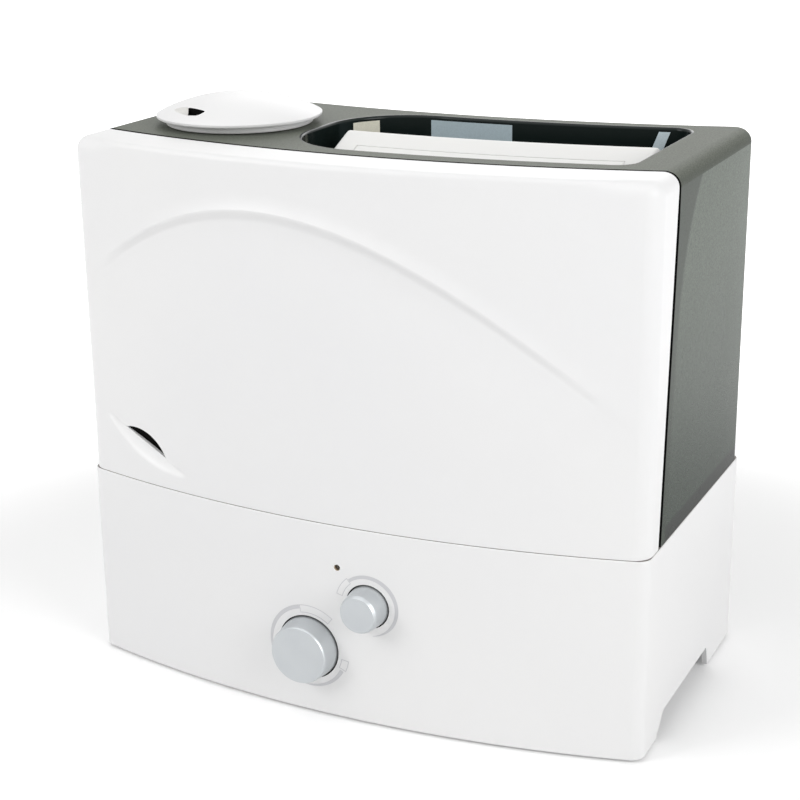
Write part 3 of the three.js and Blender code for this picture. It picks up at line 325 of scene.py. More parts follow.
def objectPoint(tree):
    return addNode(tree, "TexCoord").outputs["Object"]


def objectAxes(tree):
    return addNode(tree, "SeparateXYZ", {"Vector": objectPoint(tree)}).outputs


def noise(tree, scale, detail, roughness=0.5):
    values = {"Vector": objectPoint(tree), "Scale": scale, "Detail": detail, "Roughness": roughness}
    return addNode(tree, "TexNoise", values).outputs["Fac"]


def rgb(tone):
    return (*tone, 1.0)


def newMaterial(name):
    material = bpy.data.materials.new(name)
    material.use_nodes = True
    return material, material.node_tree, material.node_tree.nodes["Principled BSDF"]


print("helpers ready")


# camera and light

camera = {
    "place": (0.4105, -0.8517, 0.4766),
    "yaw": 25.89,
    "pitch": 18.58,
    "roll": -0.65,
    "lens": 78.26,
    "sensor": 36,
    "nearest": 0.05,
}


def makeCamera():
    yaw, pitch, roll = (math.radians(camera[key]) for key in ("yaw", "pitch", "roll"))
    right = Vector((math.cos(yaw), math.sin(yaw), 0))
    back = Vector((math.sin(yaw) * math.cos(pitch), -math.cos(yaw) * math.cos(pitch), math.sin(pitch)))
    up = back.cross(right)
    turnedRight = right * math.cos(roll) + up * math.sin(roll)
    turnedUp = up * math.cos(roll) - right * math.sin(roll)
    lens = bpy.data.cameras.new("mainCamera")
    lens.sensor_width = camera["sensor"]
    lens.lens = camera["lens"]
    lens.clip_start = camera["nearest"]
    viewer = bpy.data.objects.new("mainCamera", lens)
    basis = Matrix((turnedRight, turnedUp, back)).transposed().to_4x4()
    viewer.matrix_world = Matrix.Translation(camera["place"]) @ basis
    bpy.context.scene.collection.objects.link(viewer)
    bpy.context.scene.camera = viewer


lamps = {
    "overhead": {"place": (-0.35, -0.35, 1.7), "aim": (0, 0, 0.2), "size": (1.6, 1.4), "watts": 6.6},
    "frontLeft": {"place": (-1.3, -1.5, 1.2), "aim": (0, 0, 0.18), "size": (0.9, 0.9), "watts": 14.8},
    "right": {"place": (1.7, -0.6, 0.9), "aim": (0, 0, 0.18), "size": (1.0, 1.4), "watts": 17.6},
    "back": {"place": (-0.4, 1.8, 1.1), "aim": (0, 0, 0.18), "size": (1.6, 1.0), "watts": 8},
}


def makeLamps():
    for name, lamp in lamps.items():
        light = bpy.data.lights.new(name, "AREA")
        light.shape = "RECTANGLE"
        light.size, light.size_y = lamp["size"]
        light.energy = lamp["watts"]
        holder = bpy.data.objects.new(name, light)
        holder.location = lamp["place"]
        aim = Vector(lamp["aim"]) - Vector(lamp["place"])
        holder.rotation_euler = aim.to_track_quat("-Z", "Y").to_euler()
        bpy.context.scene.collection.objects.link(holder)


# near and far are distances on the floor; the floor's own glow rises from nearLift to farLift between them
surroundings = {
    "ambient": 0.455,
    "backdrop": 1.0,
    "floorHalf": 6,
    "floorTone": 0.86,
    "floorRoughness": 0.9,
    "floorSpecular": 0.1,
    "near": 0.31,
    "far": 0.72,
    "nearLift": 0.16,
    "farLift": 1.0,
}
white = (1, 1, 1, 1)


# 1 on rays that see the backdrop, straight, in a gloss or through glass, and 0 on those that only carry light
def backdropRays(tree):
    rays = addNode(tree, "LightPath").outputs
    seen = calculate(tree, "MAXIMUM", rays["Is Camera Ray"], rays["Is Glossy Ray"])
    return calculate(tree, "MAXIMUM", seen, rays["Is Transmission Ray"])


def makeWorld():
    world = bpy.data.worlds.new("studio")
    bpy.context.scene.world = world
    world.use_nodes = True
    tree = world.node_tree
    tree.nodes.clear()
    lit = addNode(tree, "Background", {"Color": white, "Strength": surroundings["ambient"]})
    seen = addNode(tree, "Background", {"Color": white, "Strength": surroundings["backdrop"]})
    mix = addNode(tree, "MixShader", {0: backdropRays(tree), 1: lit.outputs[0], 2: seen.outputs[0]})
    addNode(tree, "OutputWorld", {"Surface": mix.outputs[0]})


def makeFloor():
    half = surroundings["floorHalf"]
    corners = [(x, y, 0) for x, y in boxCorners(-half, -half, half, half)]
    floor = makePiece("studioFloor", corners, [(0, 1, 2, 3)])
    material, tree, shader = newMaterial("studioFloor")
    # lifted to the backdrop's white away from the object, so that only its shadow is left
    reach = addNode(tree, "VectorMath", {0: objectPoint(tree)}, operation="LENGTH").outputs["Value"]
    near, far, nearLift, farLift = (surroundings[key] for key in ("near", "far", "nearLift", "farLift"))
    lift = mapRange(tree, reach, near, far, nearLift, farLift, "SMOOTHSTEP")
    setInputs(shader, {
        "Base Color": rgb([surroundings["floorTone"]] * 3),
        "Roughness": surroundings["floorRoughness"],
        "Specular IOR Level": surroundings["floorSpecular"],
        "Emission Color": white,
        "Emission Strength": product(tree, backdropRays(tree), lift),
    })
    floor.data.materials.append(material)


bpy.context.scene.view_settings.view_transform = "Standard"
makeCamera()
makeLamps()
makeWorld()
makeFloor()
print("camera, lamps and floor ready")


# shared effects as node groups; a tone's socket is a colour and every other one a number

def newGroup(name, inputs, outputs=("Mask",)):
    group = bpy.data.node_groups.new(name, "ShaderNodeTree")
    for label, value in inputs.items():
        kind = "NodeSocketColor" if isinstance(value, tuple) else "NodeSocketFloat"
        socket = group.interface.new_socket(label, in_out="INPUT", socket_type=kind)
        socket.default_value = value
    for label in outputs:
        kind = "NodeSocketColor" if label == "Color" else "NodeSocketFloat"
        group.interface.new_socket(label, in_out="OUTPUT", socket_type=kind)
    return group, group.nodes.new("NodeGroupInput").outputs, group.nodes.new("NodeGroupOutput")


# fine spark-eroded texture of a moulded part: a height and a mask for roughness
def makeGrainGroup():
    group, given, result = newGroup(
        "mouldGrain", {"Grain Scale": 900.0, "Patch Scale": 18.0}, ("Height", "Patches")
    )
    fine = noise(group, given["Grain Scale"], detail=3, roughness=0.6)
    broad = noise(group, given["Patch Scale"], detail=4)
    setInputs(result, {"Height": fine, "Patches": broad})
    return group


# a colour that drifts a little between two tones over the surface
def makeDriftGroup():
    group, given, result = newGroup(
        "toneDrift", {"Tone": white, "Other Tone": white, "Scale": 12.0}, ("Color",)
    )
    share = mapRange(group, noise(group, given["Scale"], detail=3), low=0.3, high=0.7)
    setInputs(result, {"Color": mixTones(group, share, given["Tone"], given["Other Tone"])})
    return group


# a mask that rises with height, from one level to another
def makeRiseGroup():
    group, given, result = newGroup("heightMask", {"Low": 0.0, "High": 1.0})
    height = objectAxes(group)["Z"]
    setInputs(result, {"Mask": mapRange(group, height, given["Low"], given["High"], ease="SMOOTHSTEP")})
    return group


# a painted reflection of a bright pane on the well's back wall
paneWall = {"behind": -0.035, "clear": 0.0025, "depth": 0.03}


def makePaneReflectionGroup():
    group, given, result = newGroup("paintedPaneReflection", {"Start": 0.0, "End": 0.01, "Lean": 0.0})
    axes = objectAxes(group)
    below = calculate(group, "SUBTRACT", topZ, axes["Z"])
    x = calculate(group, "ADD", axes["X"], product(group, below, given["Lean"]))
    setInputs(result, {"Mask": product(
        group,
        calculate(group, "GREATER_THAN", x, given["Start"]),
        calculate(group, "LESS_THAN", x, given["End"]),
        calculate(group, "GREATER_THAN", axes["Y"], paneWall["behind"]),
        calculate(group, "GREATER_THAN", below, paneWall["clear"]),
        calculate(group, "LESS_THAN", below, paneWall["depth"]),
    )})
    return group


# the front panel's wall and seams, and the line where it ends on the sides
panel = {
    "wall": 0.0022,
    "ledge": 0.028,
    "sideBottom": 0.017,
    "sideSlopeTop": 0.295,
    "topSeam": 0.0026,
    "sideSeam": 0.0042,
    "frontEdge": 0.003,
    "edgeTurn": 0.03,
    "frontSlack": 0.001,
    "coreBelow": 0.01,
}
sideSlope = (panel["ledge"] - panel["sideBottom"]) / (panel["sideSlopeTop"] - seamZ)


# a painted reflection: a dark band on the tank's side behind the panel's side seam, flaring upwards
def makeSeamReflectionGroup():
    group, given, result = newGroup(
        "paintedSeamReflection", {"Least": 0.004, "Width": 0.01, "From": 0.2, "To": 0.3, "Flare": 3.0, "Blur": 0.001}
    )
    axes = objectAxes(group)
    foot = cornerLineY + panel["sideBottom"] + panel["sideSeam"] - sideSlope * seamZ
    seamY = calculate(group, "ADD", product(group, axes["Z"], sideSlope), foot)
    rise = mapRange(group, axes["Z"], given["From"], given["To"])
    flare = product(group, calculate(group, "POWER", rise, given["Flare"]), given["Width"])
    width = calculate(group, "ADD", flare, given["Least"])
    behind = calculate(group, "SUBTRACT", calculate(group, "SUBTRACT", axes["Y"], seamY), width)
    setInputs(result, {"Mask": mapRange(group, behind, given["Blur"], 0.0, ease="SMOOTHSTEP")})
    return group


# a painted highlight on the scooped hollow below the crescent window, with soft edges and ends
def makeHollowHighlightGroup():
    group, given, result = newGroup("paintedHollowHighlight", {
        "Centre X": 0.0, "Centre Z": 0.0, "Cosine": 1.0, "Sine": 0.0, "Half": 0.03, "Bow": 0.007,
        "Top": -0.003, "Blur": 0.001, "Ends": 6.0,
    })
    axes = objectAxes(group)
    x = calculate(group, "SUBTRACT", axes["X"], given["Centre X"])
    z = calculate(group, "SUBTRACT", axes["Z"], given["Centre Z"])
    level = calculate(group, "ADD", product(group, x, given["Cosine"]), product(group, z, given["Sine"]))
    below = calculate(group, "SUBTRACT", product(group, x, given["Sine"]), product(group, z, given["Cosine"]))
    along = calculate(group, "DIVIDE", level, given["Half"])
    room = calculate(group, "SUBTRACT", 1.0, product(group, along, along), clamp=True)
    edge = calculate(group, "SUBTRACT", product(group, room, given["Bow"]), below)
    depth = calculate(group, "SUBTRACT", below, given["Top"])
    setInputs(result, {"Mask": product(
        group,
        calculate(group, "DIVIDE", edge, given["Blur"], clamp=True),
        calculate(group, "DIVIDE", depth, given["Blur"], clamp=True),
        calculate(group, "MULTIPLY", room, given["Ends"], clamp=True),
        calculate(group, "LESS_THAN", axes["Y"], cornerLineY),
    )})
    return group


groups = {
    "grain": makeGrainGroup(),
    "drift": makeDriftGroup(),
    "rise": makeRiseGroup(),
    "pane": makePaneReflectionGroup(),
    "band": makeSeamReflectionGroup(),
    "hollowHighlight": makeHollowHighlightGroup(),
}


def useGroup(tree, name, values):
    return addNode(tree, "Group", values, node_tree=groups[name]).outputs


# each overlay is a mask group, the tone that shows where the mask is 1, and the group's values
def paintOverlays(tree, colour, overlays):
    for group, tone, values in overlays:
        mask = useGroup(tree, group, values)["Mask"]
        colour = mixTones(tree, mask, colour, rgb(tone))
    return colour


# what a finish has where its own values don't say otherwise
plainLook = {
    "driftScale": 12.0, "grainScale": 900.0, "patchScale": 18.0, "patchLevels": (0.3, 0.7),
    "roughSpread": 0.04, "bump": 0.15, "bumpDepth": 0.00004, "metallic": 0.0, "ior": 1.48, "specular": 0.5,
    "overlays": [],
}


def makeGrain(tree, look):
    return useGroup(tree, "grain", {"Grain Scale": look["grainScale"], "Patch Scale": look["patchScale"]})


def finishShader(shader, look, grain, colour):
    tree = shader.id_data
    least, most = look["roughness"] - look["roughSpread"], look["roughness"] + look["roughSpread"]
    bump = {"Height": grain["Height"], "Strength": look["bump"], "Distance": look["bumpDepth"]}
    setInputs(shader, {
        "Base Color": colour,
        "Roughness": mapRange(tree, grain["Patches"], *look["patchLevels"], least, most),
        "Normal": addNode(tree, "Bump", bump).outputs["Normal"],
        "Metallic": look["metallic"],
        "IOR": look["ior"],
        "Specular IOR Level": look["specular"],
    })


# a moulded, metallised, coated or printed finish from one dictionary of values
def makeFinish(name, ownLook):
    look = {**plainLook, **ownLook}
    material, tree, shader = newMaterial(name)
    tones = {"Tone": rgb(look["tone"]), "Other Tone": rgb(look["otherTone"]), "Scale": look["driftScale"]}
    colour = paintOverlays(tree, useGroup(tree, "drift", tones)["Color"], look["overlays"])
    finishShader(shader, look, makeGrain(tree, look), colour)
    return material


finishes = {
    "whitePlastic": {
        "tone": (0.80, 0.80, 0.805), "otherTone": (0.815, 0.813, 0.81), "roughness": 0.42, "driftScale": 6.0,
    },
    "warmWhitePlastic": {"tone": (0.80, 0.80, 0.785), "otherTone": (0.815, 0.812, 0.795), "roughness": 0.45},
    "greyPlastic": {
        "tone": (0.30, 0.31, 0.32), "otherTone": (0.33, 0.34, 0.35), "roughness": 0.5, "bump": 0.3,
    },
    "blackPlastic": {
        "tone": (0.018, 0.018, 0.019), "otherTone": (0.026, 0.026, 0.027), "roughness": 0.5, "bump": 0.3,
    },
    "softRubber": {
        "tone": (0.03, 0.03, 0.03), "otherTone": (0.045, 0.045, 0.044), "roughness": 0.75, "bump": 0.4,
    },
    "satinSilver": {
        "tone": (0.53, 0.555, 0.575), "otherTone": (0.57, 0.595, 0.61), "roughness": 0.36, "metallic": 0.65,
        "grainScale": 2600.0, "bump": 0.35, "bumpDepth": 0.00003, "driftScale": 40.0,
    },
    "brightSteel": {
        "tone": (0.55, 0.56, 0.57), "otherTone": (0.62, 0.63, 0.64), "roughness": 0.3, "metallic": 1.0,
        "grainScale": 1400.0, "bump": 0.2,
    },
    "boardLacquer": {
        "tone": (0.02, 0.12, 0.05), "otherTone": (0.03, 0.16, 0.07), "roughness": 0.3, "driftScale": 300.0,
        "grainScale": 500.0, "bump": 0.4,
    },
    "windingCopper": {
        "tone": (0.30, 0.13, 0.06), "otherTone": (0.42, 0.2, 0.09), "roughness": 0.4, "metallic": 0.5,
        "driftScale": 160.0, "grainScale": 700.0, "bump": 0.5,
    },
    "lampLens": {
        "tone": (0.035, 0.028, 0.02), "otherTone": (0.06, 0.045, 0.03), "roughness": 0.2, "driftScale": 500.0,
    },
    "lampWell": {
        "tone": (0.6, 0.49, 0.35), "otherTone": (0.66, 0.56, 0.42), "roughness": 0.5, "driftScale": 400.0,
    },
    "seamShadow": {
        "tone": (0.003, 0.003, 0.003), "otherTone": (0.006, 0.006, 0.006), "roughness": 0.9, "specular": 0.03,
    },
    "rampShade": {
        "tone": (0.67, 0.665, 0.64), "otherTone": (0.72, 0.715, 0.69), "roughness": 0.5, "driftScale": 90.0,
    },
    # painted shade: the dark grey seen in the seam between base and tank
    "seamShadeGrey": {
        "tone": (0.27, 0.25, 0.235), "otherTone": (0.31, 0.29, 0.275), "roughness": 0.7, "bump": 0.3,
    },
    "printGrey": {
        "tone": (0.59, 0.59, 0.61), "otherTone": (0.61, 0.61, 0.625), "roughness": 0.5, "driftScale": 60.0,
    },
}
materials = {name: makeFinish(name, look) for name, look in finishes.items()}


# a painted pane reflection on the well's wall, between two x levels
def pane(start, end, lean, tone):
    return "pane", tone, {"Start": start, "End": end, "Lean": lean}


# levels and foot are the heights between which the tones change
smokedLooks = {
    # painted reflection: the tank's sides lighter towards the top and darker low down
    "smokedPlastic": {
        "lowTone": (0.030, 0.042, 0.031), "highTone": (0.088, 0.108, 0.086), "levels": (0.122, 0.30),
        "footTone": (0.014, 0.017, 0.014), "foot": (0.1235, 0.1265), "roughness": 0.28, "specular": 0.05,
        "speckle": 0.35,
        # painted reflection: a dark band behind the panel's side seam
        "overlays": [("band", (0.028, 0.038, 0.027), {
            "Least": 0.004, "Width": 0.036, "From": 0.195, "To": 0.311, "Flare": 3.2, "Blur": 0.006,
        })],
    },
    # rougher top finish with a painted reflection: lighter on the flat top, darker down its rounded edge
    "smokedTop": {
        "lowTone": (0.066, 0.074, 0.061), "highTone": (0.118, 0.128, 0.106), "levels": (0.303, 0.3106),
        "footTone": (0.012, 0.014, 0.012), "foot": (0.1, 0.11), "roughness": 0.5, "specular": 0.08,
        "speckle": 0.25,
    },
    # painted shade: a darker copy of the smoked plastic for the well's inside, darker still low down
    "smokedWell": {
        "lowTone": (0.004, 0.006, 0.005), "highTone": (0.008, 0.013, 0.012), "levels": (0.27, 0.31),
        "footTone": (0.004, 0.006, 0.005), "foot": (0.1, 0.11), "roughness": 0.16, "specular": 0.2,
        "speckle": 0.05,
        # painted reflections of bright panes
        "overlays": [
            pane(-0.0500, -0.0400, 0.0, (0.80, 0.78, 0.66)),
            pane(-0.0126, 0.0376, 0.0, (0.42, 0.51, 0.55)),
            pane(0.1222, 0.1285, 0.38, (0.62, 0.72, 0.76)),
        ],
    },
}
smokedGrain = {
    "grainScale": 1200.0, "patchScale": 9.0, "patchLevels": (0.0, 1.0), "bump": 0.12, "bumpDepth": 0.00003,
    "ior": 1.5, "speckleLevels": (0.35, 0.65),
}


# deep smoked plastic with a painted reflection: lighter high up and darker low down, and a darker strip at
# the foot
def makeSmoked(name, ownLook):
    look = {**plainLook, **smokedGrain, **ownLook}
    material, tree, shader = newMaterial(name)

    def between(low, high):
        return useGroup(tree, "rise", {"Low": low, "High": high})["Mask"]

    rise, foot = between(*look["levels"]), between(*look["foot"])
    grain = makeGrain(tree, look)
    wall = mixTones(tree, rise, rgb(look["lowTone"]), rgb(look["highTone"]))
    colour = paintOverlays(tree, mixTones(tree, foot, rgb(look["footTone"]), wall), look["overlays"])
    least, most = 1 - look["speckle"], 1 + look["speckle"]
    speckle = mapRange(tree, grain["Height"], *look["speckleLevels"], least, most)
    flecked = addNode(tree, "VectorMath", {0: colour, "Scale": speckle}, operation="SCALE")
    finishShader(shader, look, grain, flecked.outputs["Vector"])
    return material


for name, look in smokedLooks.items():
    materials[name] = makeSmoked(name, look)
print("materials ready")


# base housing

base = {
    "topRound": 0.0007,
    "bottomRound": 0.001,
    "wall": 0.003,
    "rowGap": 0.008,
    "seamShadeFacing": 0.9,
    "footRings": 4,
    "rimRings": 5,
    "notchFront": 0.026,
    "notchLength": 0.097,
    "notchTop": 0.0145,
    "notchBelow": 0.001,
    "frontFootStep": 0.005,
    "frontFootRun": 0.012,
    "backFootRun": 0.005,
    "knobGap": 0.0008,
    "lampHole": 0.0018,
    "holeAhead": 0.004,
    "holeBehind": 0.008,
    "slotRound": 0.0008,
    "ventCount": 8,
    "ventPitch": 0.007,
    "ventSize": (0.0026, 0.024),
    "ventBottom": 0.034,
    "inletX": 0.112,
    "inletHole": (0.0246, 0.0166),
}


def smoothStep(value):
    value = np.clip(value, 0, 1)
    return value * value * (3 - 2 * value)


def easedRise(start, end, low, high, steps=14):
    share = np.linspace(0, 1, steps + 1)
    return np.column_stack([start + (end - start) * share, low + (high - low) * smoothStep(share)])


def notchOutline():
    start = cornerLineY + base["notchFront"]
    end = start + base["notchLength"]
    top = base["notchTop"]
    return np.concatenate([
        [[start, -base["notchBelow"]], [end, -base["notchBelow"]]],
        easedRise(end, end - base["backFootRun"], housingLow.z, top),
        easedRise(start + base["frontFootRun"], start, top, base["frontFootStep"]),
    ])


def roundHole(name, x, z, radius, look):
    y = frontY(x)
    hole = alongY(name, circle(x, z, radius), y - base["holeAhead"], y + base["holeBehind"])
    dressPiece(hole, look)
    return hole


# a rounded slot through the back wall, square to its curve
def backBlock(name, x, z, width, height):
    outline = rounded(boxCorners(-width / 2, -height / 2, width / 2, height / 2), base["slotRound"])
    block = alongY(name, outline, -base["holeBehind"], base["holeBehind"])
    turn = Matrix.Rotation(math.asin(x / curveRadius), 4, "Z")
    block.data.transform(Matrix.Translation((x, backY(x), z)) @ turn)
    return block


def baseRings():
    low = housingLow.z
    foot, brim, wall = base["bottomRound"], base["topRound"], base["wall"]
    corner = body["baseCorner"]
    levels = [(low + foot * rise, foot * pull) for rise, pull in quarterSteps(base["footRings"])]
    rows = int((seamZ - low) / base["rowGap"])
    levels += [(z, 0) for z in np.linspace(low + foot, seamZ - brim, rows)[1:]]
    levels += [(seamZ - brim * drop, brim * inward) for inward, drop in quarterSteps(base["rimRings"])[1:]]
    levels += [(seamZ, wall), (low, wall)]
    return [slabRing(z, inset, corner - inset, evenShares) for z, inset in levels]


def makeBase():
    piece = ringPiece("baseShell", baseRings(), closed=True)
    holes = [alongX("notch", notchOutline(), -beyond, beyond)]
    for node in ("mist_knob", "humidity_knob"):
        x, _, z, radius = middleOf(node)
        holes.append(roundHole("knobHole", x, z, radius + base["knobGap"], "seamShadow"))
    x, _, z, _ = middleOf("indicator_light")
    holes.append(roundHole("lampHole", x, z, base["lampHole"], "lampWell"))
    fanX = middleOf("fan_frame")[0]
    ventZ = base["ventBottom"] + base["ventSize"][1] / 2
    for i in range(base["ventCount"]):
        x = fanX + (i - (base["ventCount"] - 1) / 2) * base["ventPitch"]
        holes.append(backBlock("vent", x, ventZ, *base["ventSize"]))
    holes.append(backBlock("inletHole", base["inletX"], middleOf("power_inlet")[2], *base["inletHole"]))
    # the level upper rim is painted dark grey as shade in the seam
    dressPiece(piece, "whitePlastic", "seamShadeGrey")
    for face in piece.data.polygons:
        if face.normal.z > base["seamShadeFacing"] and face.center.z > seamZ - tiny:
            face.material_index = 1
    carve(piece, *holes)
    finishPiece(piece, None, "base", "base_housing")


makeBase()
print("base ready")


# front panel; the region that it is cut from reaches past the tank on all its outer sides

region = {
    "halfWidth": 0.19, "ahead": 0.05, "low": 0.02, "high": 0.34, "sideAhead": 0.07, "sideHigh": 0.35,
    "steps": 96,
}
brow = {
    "left": (-0.162, 0.234),
    "leftPull": (-0.048, 0.335),
    "rightPull": (0.065, 0.264),
    "right": (0.166, 0.185),
    "proud": 0.0018,
    "set": 0.0011,
    "below": 0.045,
    "width": 0.0095,
    "crease": 0.0064,
    "leftFade": 0.055,
    "leftStart": 0.05,
    "rightFade": 0.13,
    "rows": (0.160, 0.245, 0.3005),
    "turn": 0.02,
    "samples": 400,
}
window = {
    "x": -0.1256,
    "z": 0.1405,
    "length": 0.0335,
    "outerBow": 0.0066,
    "innerBow": 0.0007,
    "tilt": -22.9,
    "cutReach": 0.02,
    "steps": 24,
}
scoop = {
    "x": -0.1258,
    "z": 0.1378,
    "half": 0.0320,
    "tilt": math.radians(-25.0),
    "bow": 0.0070,
    "top": -0.0026,
    "depth": 0.0019,
    "curve": 4.0,
    "blur": 0.0012,
    # painted highlight: the hollow's lighter tone
    "tone": (0.87, 0.87, 0.87),
}
# the panel's columns and rows in stretches of (end, step), closest round the window and along the brow
panelGrid = {
    "columns": ((-0.158, 0.0014), (-0.094, 0.0008)),
    "lastColumns": 0.0015,
    "rows": ((0.160, 0.0008), (0.233, 0.002), (0.257, 0.0006)),
    "lastRows": 0.0025,
}


def stretches(start, *parts):
    out = []
    for end, step in parts:
        out.append(np.arange(start, end, step))
        start = end
    return np.concatenate(out)


# the part of the tank's skin in front of the parting line
def panelRegion(name, topMargin=0, sideMargin=0):
    wide, ahead = region["halfWidth"], cornerLineY - region["ahead"]
    lean = math.asin(wide / curveRadius)
    ledge = curveRadius - panel["ledge"] - topMargin
    rear = arc(0, frontCentreY, ledge, lean - quarter, -quarter - lean, region["steps"])
    plan = np.concatenate([[[-wide, ahead], [wide, ahead]], rear])
    keep = upright(name, plan, region["low"], region["high"])
    front, high = cornerLineY - region["sideAhead"], region["sideHigh"]
    foot = cornerLineY + panel["sideBottom"] + sideMargin
    side = np.array([
        (front, 0), (foot - sideSlope * seamZ, 0), (foot + sideSlope * (high - seamZ), high), (front, high)
    ])
    return carve(keep, alongX("sideCut", side, -beyond, beyond), operation="INTERSECT")


# height of the brow's crest for each x
def browLevel(x):
    share = np.linspace(0, 1, brow["samples"])
    ends = np.array([brow[key] for key in ("left", "leftPull", "rightPull", "right")])
    weights = np.column_stack([
        (1 - share) ** 3, 3 * share * (1 - share) ** 2, 3 * share**2 * (1 - share), share**3
    ])
    curve = weights @ ends
    return np.interp(x, curve[:, 0], curve[:, 1])


# moves the mesh's level lines so that one of them runs along the crest
def followBrow(x, z):
    low, middle, high = brow["rows"]
    away = smoothStep((halfWidth - np.abs(x) - body["tankCorner"]) / brow["turn"])
    level = middle + (browLevel(x) - middle) * away
    under = low + (z - low) * (level - low) / (middle - low)
    over = level + (z - middle) * (high - level) / (high - middle)
    moved = np.where(z < middle, under, over)
    return np.where((z > low) & (z < high), moved, z)


# height of the brow over the plain curve, for each x and z
def browHeight(x, z):
    above = z - browLevel(x)
    strength = smoothStep((x - brow["left"][0]) / brow["leftFade"] + brow["leftStart"])
    strength *= np.clip((brow["right"][0] - x) / brow["rightFade"], 0, 1)
    upper = brow["proud"] * (1 - np.clip(above / brow["width"], 0, 1)) ** 2
    fall = smoothStep(-above / brow["crease"])
    recovery = smoothStep((-above - brow["crease"]) / brow["below"])
    lower = brow["proud"] * (1 - fall) - brow["set"] * fall * (1 - recovery)
    return strength * np.where(above > 0, upper, lower)


# depth of the hollow that leads into the crescent window
def scoopDepth(x, z):
    cosine, sine = math.cos(scoop["tilt"]), math.sin(scoop["tilt"])
    dx = x - scoop["x"]
    dz = z - scoop["z"]
    along = (dx * cosine + dz * sine) / scoop["half"]
    below = dx * sine - dz * cosine
    room = np.clip(1 - along**2, 0, 1)
    edge = scoop["bow"] * room
    share = np.clip((edge - below) / np.maximum(edge - scoop["top"], nothing), 0, 1)
    inside = (below > scoop["top"]) & (room > 0)
    return np.where(inside, scoop["depth"] * room * (1 - (1 - share) ** scoop["curve"]), 0)


# the front's upper edge is tighter than the tank's round at the sides: how far it stands before that round
def crispEdge(x, z):
    def pull(radius):
        depth = np.clip(z - (topZ - radius), 0, radius)
        return radius - np.sqrt(radius**2 - depth**2)

    away = smoothStep((halfWidth - np.abs(x) - body["tankCorner"]) / panel["edgeTurn"])
    return (pull(body["tankEdge"]) - pull(panel["frontEdge"])) * away


def windowOutline():
    half = window["length"] / 2

    def bowed(bow, start, end):
        radius = (half**2 + bow**2) / (2 * bow)
        spread = math.asin(half / radius)
        return arc(0, bow - radius, radius, quarter + start * spread, quarter + end * spread, window["steps"])

    outline = np.concatenate([bowed(window["outerBow"], -1, 1), bowed(window["innerBow"], 1, -1)[1:-1]])
    tilt = math.radians(window["tilt"])
    turn = np.array([[math.cos(tilt), math.sin(tilt)], [-math.sin(tilt), math.cos(tilt)]])
    return outline @ turn + (window["x"], window["z"])


def panelShares():
    reach = halfWidth - tankInset - body["tankCorner"]
    front = curveRadius - tankInset
    xs = stretches(-reach, *panelGrid["columns"], (reach, panelGrid["lastColumns"]))
    limit = math.asin(reach / (front - body["tankCorner"]))
    shares = (np.arcsin(np.append(xs, reach) / front) + limit) / (2 * limit)
    shares[0] = 0
    shares[-1] = 1
    return np.clip(shares, 0, 1)


# the hollow gets a painted highlight: a whiter tone than the rest of the panel
def panelLook():
    mask = {
        "Centre X": scoop["x"], "Centre Z": scoop["z"], "Half": scoop["half"], "Bow": scoop["bow"],
        "Cosine": math.cos(scoop["tilt"]), "Sine": math.sin(scoop["tilt"]), "Top": scoop["top"],
        "Blur": scoop["blur"],
    }
    return {**finishes["whitePlastic"], "overlays": [("hollowHighlight", scoop["tone"], mask)]}


def makePanel():
    low = shellLow.z
    rows = stretches(low, *panelGrid["rows"], (topZ - body["tankEdge"], panelGrid["lastRows"]))
    piece = tankBody("frontPanel", tankInset, low, panelShares(), rows)
    mesh = piece.data
    points = np.empty(len(mesh.vertices) * 3)
    mesh.vertices.foreach_get("co", points)
    points = points.reshape(-1, 3)
    x, y, z = points.T
    onFront = y < cornerLineY + panel["frontSlack"]
    z[:] = np.where(onFront, followBrow(x, z), z)
    y -= np.where(onFront, browHeight(x, z) - scoopDepth(x, z) + crispEdge(x, z), 0)
    mesh.vertices.foreach_set("co", points.ravel())
    mesh.update()
    # brow and hollow go through the whole skin, so its inside is plain
    below = low - panel["coreBelow"]
    core = tankBody("panelCore", tankInset + panel["wall"], below, evenShares, [below])
    carve(piece, panelRegion("panelKeep"), operation="INTERSECT")
    middle = frontY(window["x"])
    reach = window["cutReach"]
    carve(piece, core, alongY("windowCut", windowOutline(), middle - reach, middle + reach))
    materials["panelPlastic"] = makeFinish("panelPlastic", panelLook())
    finishPiece(piece, "panelPlastic", "tank", "front_panel")


makePanel()
print("front panel ready")


# tank shell

tank = {
    "wall": 0.0023,
    "cavityLow": 0.05,
    "wellLeft": -0.054,
    "wellRight": 0.142,
    "wellFront": 0.044,
    "wellBack": 0.018,
    "wellDepth": 0.038,
    "wellWall": 0.0025,
    "leftRadius": 0.045,
    "rightRadius": 0.012,
    "lip": 0.0016,
    "fillet": 0.005,
    "boreDepth": 0.02,
    "cutAbove": 0.01,
    "rows": 24,
    "cornerSteps": 12,
    "lineSteps": 42,
    "edgeRings": 6,
}
wellFloor = topZ - tank["wellDepth"]


